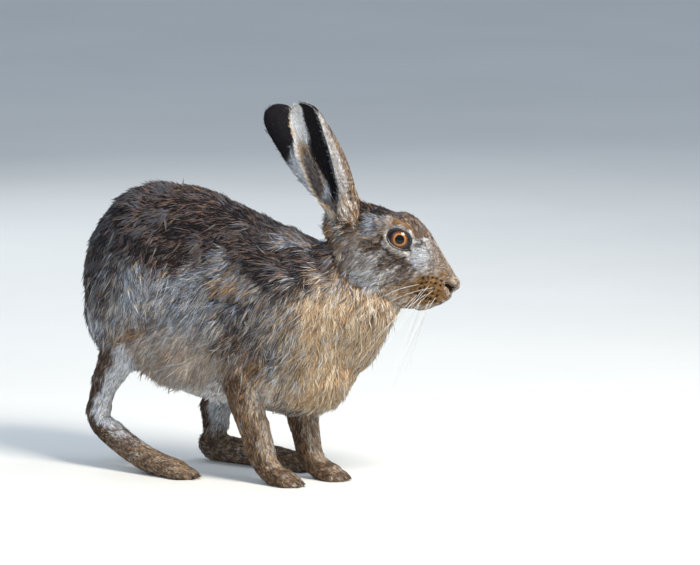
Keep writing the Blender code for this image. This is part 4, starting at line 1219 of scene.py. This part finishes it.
def make_ear(side):
    """A cupped ear of fine skin, with its short coat and longer fringe."""
    axis, front, opening = (np.array(v) for v in ear_axes(side))
    far = side == "left"
    rows = smooth_curve(EAR, EAR_ROWS)
    u = np.linspace(0, 1, EAR_COLUMNS + 1)
    outer, inner = (ear_sheet(side, rows, u[None], kind) for kind in (False, True))
    half, wide = len(outer), EAR_COLUMNS + 1
    faces = []
    for i in range(EAR_ROWS - 1):
        for a in range(i * wide, i * wide + EAR_COLUMNS):
            faces.append((a, a + 1, a + 1 + wide, a + wide))
            faces.append((half + a + wide, half + a + 1 + wide, half + a + 1, half + a))
        for a in (i * wide, i * wide + EAR_COLUMNS):
            faces.append((a, a + wide, half + a + wide, half + a))
    for i in (0, EAR_ROWS - 1):
        for a in range(i * wide, i * wide + EAR_COLUMNS):
            faces.append((a, a + 1, half + a + 1, half + a))
    obj = new_object("skin_ear_" + side, np.concatenate([outer, inner]), faces)
    changed(obj.data, lambda bm: bmesh.ops.recalc_face_normals(bm, faces=bm.faces))
    triangulated(obj)
    s, uu = np.repeat(rows[:, 0], wide), np.tile(u, EAR_ROWS)
    shares = np.concatenate([ear_shares(s, uu, kind, far) for kind in (False, True)])
    paint(obj, shares @ PALETTE * EAR_SKIN_TONE)
    uv = unwrap(obj, (0.64, 0.0) if far else (0.82, 0.0), (0.17, 0.38))
    p, n = points_of(obj), normals_of(obj)
    s, uu = np.tile(s, 2), np.tile(uu, 2)
    is_inner = np.arange(len(p)) >= half
    weight = 1 + 1.2 * step(np.abs(uu - 0.5), 0.40, 0.48) + 1.0 * (1 - step(s, 0.1, 0.3))
    weight *= 1 - 0.6 * is_inner * step(uu, 0.35, 0.45)
    corners, share, place = scatter(obj, uv, EAR_TUFTS, weight)
    root, normal = read(p, corners, share), unit(read(n, corners, share))
    inside = read(is_inner.astype(float), corners, share) > 0.5
    uu, s = read(uu, corners, share), read(s, corners, share)
    edge = step(np.abs(uu - 0.5), 0.36, 0.48)
    flow = axis + np.where(inside, 0.9 * edge, 0.0)[:, None] * opening
    flow = flow + (0.5 * (inside & (uu > 0.66)) * (s < 0.8))[:, None] * (opening - 0.7 * front)
    sway = 0.14 * waves(root, 0.012, 61) + rng.normal(0, 0.12, len(root))
    flow = unit(swayed(unit(flat(flow, normal)), normal, sway))
    base = 1 - step(s, 0.05, 0.25)
    size = 0.0030 + 0.0016 * edge * inside + 0.0036 * base + 0.002 * inside
    size = size * np.exp(rng.normal(0, 0.2, len(root))) * (1 - 0.35 * step(s, 0.80, 0.92)) * (1 - 0.3 * edge)
    lift = 0.0004 + 0.0001 * edge + 0.0008 * base
    luck = 0.5 + 0.16 * waves(root, 0.005, 62) + rng.normal(0, 0.16, len(root))
    tint = drawn(read(shares, corners, share), luck, 71)
    colours = (tint * 0.6, tint, tint * 1.05)
    width = 0.00028 + 0.040 * size
    return obj, tufts("coat_ear_" + side, root, normal, flow, size, width, lift, colours, place)


def eye_material():
    """An amber iris with fine rays round a black pupil, under a wet clear coat."""
    tear = {"Coat_Weight": 1.0, "Coat_Roughness": 0.02, "Coat_IOR": 1.34}
    mat = Material("eye", Roughness=0.5, Specular_IOR_Level=0.05, **tear)
    flat_place = mat.node("UVMap", {}, "UV", uv_map="Iris")
    centre = mat.node("VectorMath", {0: flat_place, 1: (0.5, 0.5, 0.0)}, "Vector", operation="SUBTRACT")
    reach = mat.node("VectorMath", {0: centre}, "Value", operation="LENGTH")
    rays = mat.node("VectorMath", {0: centre}, "Vector", operation="NORMALIZE")
    noise = mat.grain(9.0, 5.0, rays)
    stir = mat.node("Math", {0: noise, 1: IRIS_STIR, 2: reach}, "Value", operation="MULTIPLY_ADD")
    pupil, iris = (r / (2 * EYE_HALF[0]) + IRIS_STIR / 2 for r in (PUPIL_R, IRIS_R))
    mat.ramp(stir, [
        (0.0, (0.002, 0.002, 0.003)),
        (pupil - 0.008, (0.002, 0.002, 0.003)),
        (pupil + 0.008, (0.20, 0.085, 0.020)),
        (pupil + 0.022, (0.46, 0.21, 0.050)),
        (pupil + 0.046, (0.24, 0.083, 0.018)),
        ((pupil + iris) / 2 + 0.01, (0.12, 0.044, 0.014)),
        (iris - 0.022, (0.045, 0.018, 0.012)),
        # Outside the iris the ball is painted blue-black: painted shade over the sclera.
        (iris + 0.006, (0.008, 0.006, 0.008)),
        (1.0, (0.005, 0.005, 0.009)),
    ])
    return mat.data


def make_eye(side, material):
    """An eyeball with a slightly fuller cornea, and a map that puts the iris in its middle."""
    sign = 1 if side == "left" else -1

    def ball(bm):
        bmesh.ops.create_uvsphere(bm, u_segments=96, v_segments=64, radius=1.0)
        layer = bm.loops.layers.uv.new("Iris")
        for face in bm.faces:
            face.smooth = True
            for loop in face.loops:
                co = loop.vert.co - Vector((IRIS_FORWARD / EYE_HALF[0], 0, 0))
                rear = 0.0 if co.y * sign > 0 else math.copysign(0.5, co.x)
                loop[layer].uv = (0.5 + co.x / 2 + rear, 0.5 + co.z / 2 * EYE_HALF[2] / EYE_HALF[0])
        for vert in bm.verts:
            x, y, z = vert.co
            swell = 1.0 + 0.035 * max(0.0, y * sign - 0.72) / 0.28
            vert.co = Vector((x * EYE_HALF[0], y * EYE_HALF[1] * swell, z * EYE_HALF[2])) * EYE_INSET

    mesh = bpy.data.meshes.new("eyeball_" + side)
    changed(mesh, ball)
    mesh.transform(HEAD @ eye_matrix(sign))
    dress(placed(mesh.name, mesh), material, "eye", "eye_" + side)


def tube(points, radii, sides):
    """Points and faces of a closed tapered tube along a path."""
    tangents = unit(np.gradient(points, axis=0))
    side = unit(np.cross(tangents, [0.13, 0.21, 0.97]))
    up = np.cross(side, tangents)
    turn = 2 * math.pi * np.arange(sides) / sides
    ring = np.cos(turn)[None, :, None] * side[:, None] + np.sin(turn)[None, :, None] * up[:, None]
    verts = (points[:, None] + ring * radii[:, None, None]).reshape(-1, 3)
    faces = []
    for i in range(len(points) - 1):
        for k in range(sides):
            a, b = i * sides + k, i * sides + (k + 1) % sides
            faces.append((a, b, b + sides, a + sides))
    faces.append(tuple(range(sides))[::-1])
    last = (len(points) - 1) * sides
    faces.append(tuple(range(last, last + sides)))
    return verts, faces


def joined(name, parts):
    points, faces, base = [], [], 0
    for verts, quads in parts:
        points.append(verts)
        faces += [tuple(base + i for i in quad) for quad in quads]
        base += len(verts)
    obj = new_object(name, np.concatenate(points), faces)
    for poly in obj.data.polygons:
        poly.use_smooth = True
    return obj


def make_lids(material):
    """The dark moist rims that rest on each eyeball."""
    steps, sides = 72, 8
    angle = 2 * math.pi * np.arange(steps) / steps
    around = (2 * math.pi * np.arange(sides) / sides)[None, :, None]
    across, along = np.sin(angle), np.cos(angle)
    x = LID_FORWARD + LID_HALF_LENGTH * along
    z = LID_HALF_HEIGHT * across - LID_CORNER_DROP * np.maximum(0, along) ** 3
    y = ball_height(x, z) + 0.0003
    out = unit(np.stack([along / LID_HALF_LENGTH, 0 * angle, across / LID_HALF_HEIGHT], 1))[:, None]
    thick = 0.0013 + 0.0005 * np.maximum(0, across) + 0.0006 * np.maximum(0, np.cos(angle - 0.2)) ** 2
    parts = []
    for sign in (-1, 1):
        middle = np.stack([x, sign * y, z], 1)[:, None]
        ring = np.cos(around) * out + 0.7 * np.sin(around) * np.array([0, sign, 0.0])
        verts = in_frame((middle + thick[:, None, None] * ring).reshape(-1, 3), HEAD @ eye_matrix(sign))
        faces = []
        for i in range(steps):
            j = (i + 1) % steps
            for k in range(sides):
                m = (k + 1) % sides
                face = (i * sides + k, i * sides + m, j * sides + m, j * sides + k)
                faces.append(face if sign > 0 else face[::-1])
        parts.append((verts, faces))
    dress(joined("lid_rims", parts), material, "eye")


# Whiskers bend back towards the head beyond this distance from the middle, over the second one.
WHISKER_REACH, WHISKER_BEND = 0.066, 0.022


def make_whiskers(material, surface):
    """Long fine whiskers from the pads, sweeping back and down, and a few over the eyes."""
    tree = BVHTree.FromPolygons([Vector(p) for p in points_of(surface)], triangles_of(surface)[0].tolist())
    draw = np.random.default_rng(81)
    back = -np.array(HEAD.to_3x3() @ Vector((1, 0, 0)))
    t = np.linspace(0, 1, 10)[:, None]
    parts = []
    for sign in (-1, 1):
        roots = [(*from_face_plane(u, v), 1.0) for u, v in PAD_SPOTS[5::2]]
        roots += [(0.010, 0.0150, 0.45), (0.004, 0.0160, 0.40), (-0.004, -0.0300, 0.35)]
        for a, c, size in roots:
            start = HEAD @ Vector((a, sign * 0.05, c))
            aim = (HEAD @ Vector((a, 0, c)) - start).normalized()
            hit, normal, _, _ = tree.ray_cast(start, aim)
            if hit is None:
                continue
            hit, normal = np.array(hit), np.array(normal)
            length = size * draw.uniform(0.056, 0.092)
            away = normal * draw.uniform(0.3, 0.6) + back * draw.uniform(0.1, 0.9)
            away = unit(away + [0, 0, draw.uniform(-0.9, -0.2)])
            line = hit - normal * 0.001 + away * t * length + (0.12 * back - [0, 0, 0.42]) * t**2 * length
            past = np.maximum(np.abs(line[:, 1]) - WHISKER_REACH, 0)
            line[:, 1] -= np.sign(line[:, 1]) * (past - WHISKER_BEND * (1 - np.exp(-past / WHISKER_BEND)))
            parts.append(tube(line, 0.00019 * (1 - 0.75 * t[:, 0]), 4))
    dress(joined("whiskers", parts), material, "face_fur")


TOES = {"fore_paw_": (-0.0098, -0.0034, 0.0034, 0.0098), "hind_foot_": (-0.0112, -0.0038, 0.0038, 0.0112)}


def make_claws(material):
    """A curved claw at the end of each toe, found from how far the foot's solid reaches there."""
    parts = []
    t = np.linspace(0, 1, 7)[:, None]
    curve = np.array([0, 0, 0.0012]) * np.sin(math.pi * t) - (1 - t) * np.array([0.0085, 0, -0.0022])
    for foot, across in TOES.items():
        for side in ("right", "left"):
            verts = np.array([v.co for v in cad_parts[foot + side].data.vertices])
            toes = verts[verts[:, 0] > verts[:, 0].max() - 0.03][:, 1]
            middle = (toes.max() + toes.min()) / 2
            for aside in across:
                near = verts[np.abs(verts[:, 1] - middle - aside * 1.15) < 0.0026]
                line = near[near[:, 0].argmax()] + np.array([0.0, 0, 0.0010]) + curve
                line[:, 2] = np.maximum(line[:, 2], 0.0012)
                parts.append(tube(line, 0.0015 * (1 - 0.82 * t[:, 0] ** 1.5), 8))
    dress(joined("claws", parts), material, "leg_fur")


def aimed(obj, at, azimuth, height, distance):
    """Stands the object off from a point, looking at it."""
    a, e = math.radians(azimuth), math.radians(height)
    way = Vector((math.sin(a) * math.cos(e), -math.cos(a) * math.cos(e), math.sin(e)))
    obj.location = Vector(at) + way * distance
    obj.rotation_mode = "QUATERNION"
    obj.rotation_quaternion = (-way).to_track_quat("-Z", "Y")


# Each light: turn round the object, height, distance, size, watts and colour.
LIGHTS = {
    "key": (76.0, 46.0, 1.9, 0.6, 52.0, (1.0, 0.95, 0.86)),
    "fill": (5.0, 34.0, 2.2, 1.2, 10.0, (0.74, 0.86, 1.0)),
    "rim": (165.0, 60.0, 2.0, 0.8, 8.0, (0.90, 0.95, 1.0)),
    "far": (235.0, 30.0, 2.2, 1.6, 12.0, (0.92, 0.96, 1.0)),
}
LIGHTS_AT = (0.03, 0.0, 0.18)


def make_stage():
    """A pale floor, soft lights and the camera."""
    mesh = bpy.data.meshes.new("floor")
    changed(mesh, lambda bm: bmesh.ops.create_circle(bm, cap_ends=True, segments=96, radius=14.0))
    floor = placed("floor", mesh)
    floor.data.materials.append(plain_material("stage", (0.76, 0.75, 0.71), (0.79, 0.78, 0.74), 0.9, 3.0))
    world = bpy.data.worlds.new("studio")
    bpy.context.scene.world = world
    world.use_nodes = True
    sky = world.node_tree.nodes["Background"].inputs
    sky["Color"].default_value = (0.68, 0.81, 1.0, 1.0)
    sky["Strength"].default_value = 0.50
    for name, (azimuth, height, distance, size, power, colour) in LIGHTS.items():
        lamp = bpy.data.lights.new(name, "AREA")
        lamp.energy = power
        lamp.size = size
        lamp.color = colour
        aimed(placed(name, lamp), LIGHTS_AT, azimuth, height, distance)
    cam = bpy.data.cameras.new("camera")
    cam.sensor_width = SENSOR
    cam.lens = SENSOR * VIEW_DISTANCE / VIEW_WIDTH
    cam.clip_end = 100.0
    obj = placed("camera", cam)
    aimed(obj, VIEW_AT, VIEW_TURN, VIEW_RISE, VIEW_DISTANCE)
    bpy.context.scene.camera = obj
    bpy.context.scene.view_settings.view_transform = "Standard"


def main():
    """Builds the hare piece by piece, then the stage."""
    fur = coat_material("fur", 0.60)
    skin = coat_material("skin", 0.75, 0.6)
    body, body_coat = make_body()
    head, head_coat = make_head()
    for piece, slot in body_coat:
        dress(piece, fur, slot)
    for piece in head_coat:
        dress(piece, fur, "face_fur")
    skins = [body, head]
    for side in ("right", "left"):
        ear, ear_coat = make_ear(side)
        skins.append(ear)
        for piece in ear_coat:
            dress(piece, fur, "ear_fur")
    make_whiskers(plain_material("whisker", (0.70, 0.68, 0.64), (0.85, 0.83, 0.78), 0.40, 300.0), head)
    bpy.ops.object.select_all(action="DESELECT")
    for piece in skins:
        piece.select_set(True)
    bpy.context.view_layer.objects.active = body
    bpy.ops.object.join()
    body.data.polygons.foreach_set("use_smooth", np.ones(len(body.data.polygons), bool))
    dress(body, skin, "flank_fur", *FLESH)
    eye = eye_material()
    for side in ("right", "left"):
        make_eye(side, eye)
    make_lids(plain_material("lid", (0.004, 0.003, 0.004), (0.009, 0.007, 0.007), 0.42, 700.0, 0.2))
    make_claws(plain_material("claw", (0.060, 0.040, 0.028), (0.110, 0.075, 0.050), 0.35, 500.0))
    make_stage()


main()
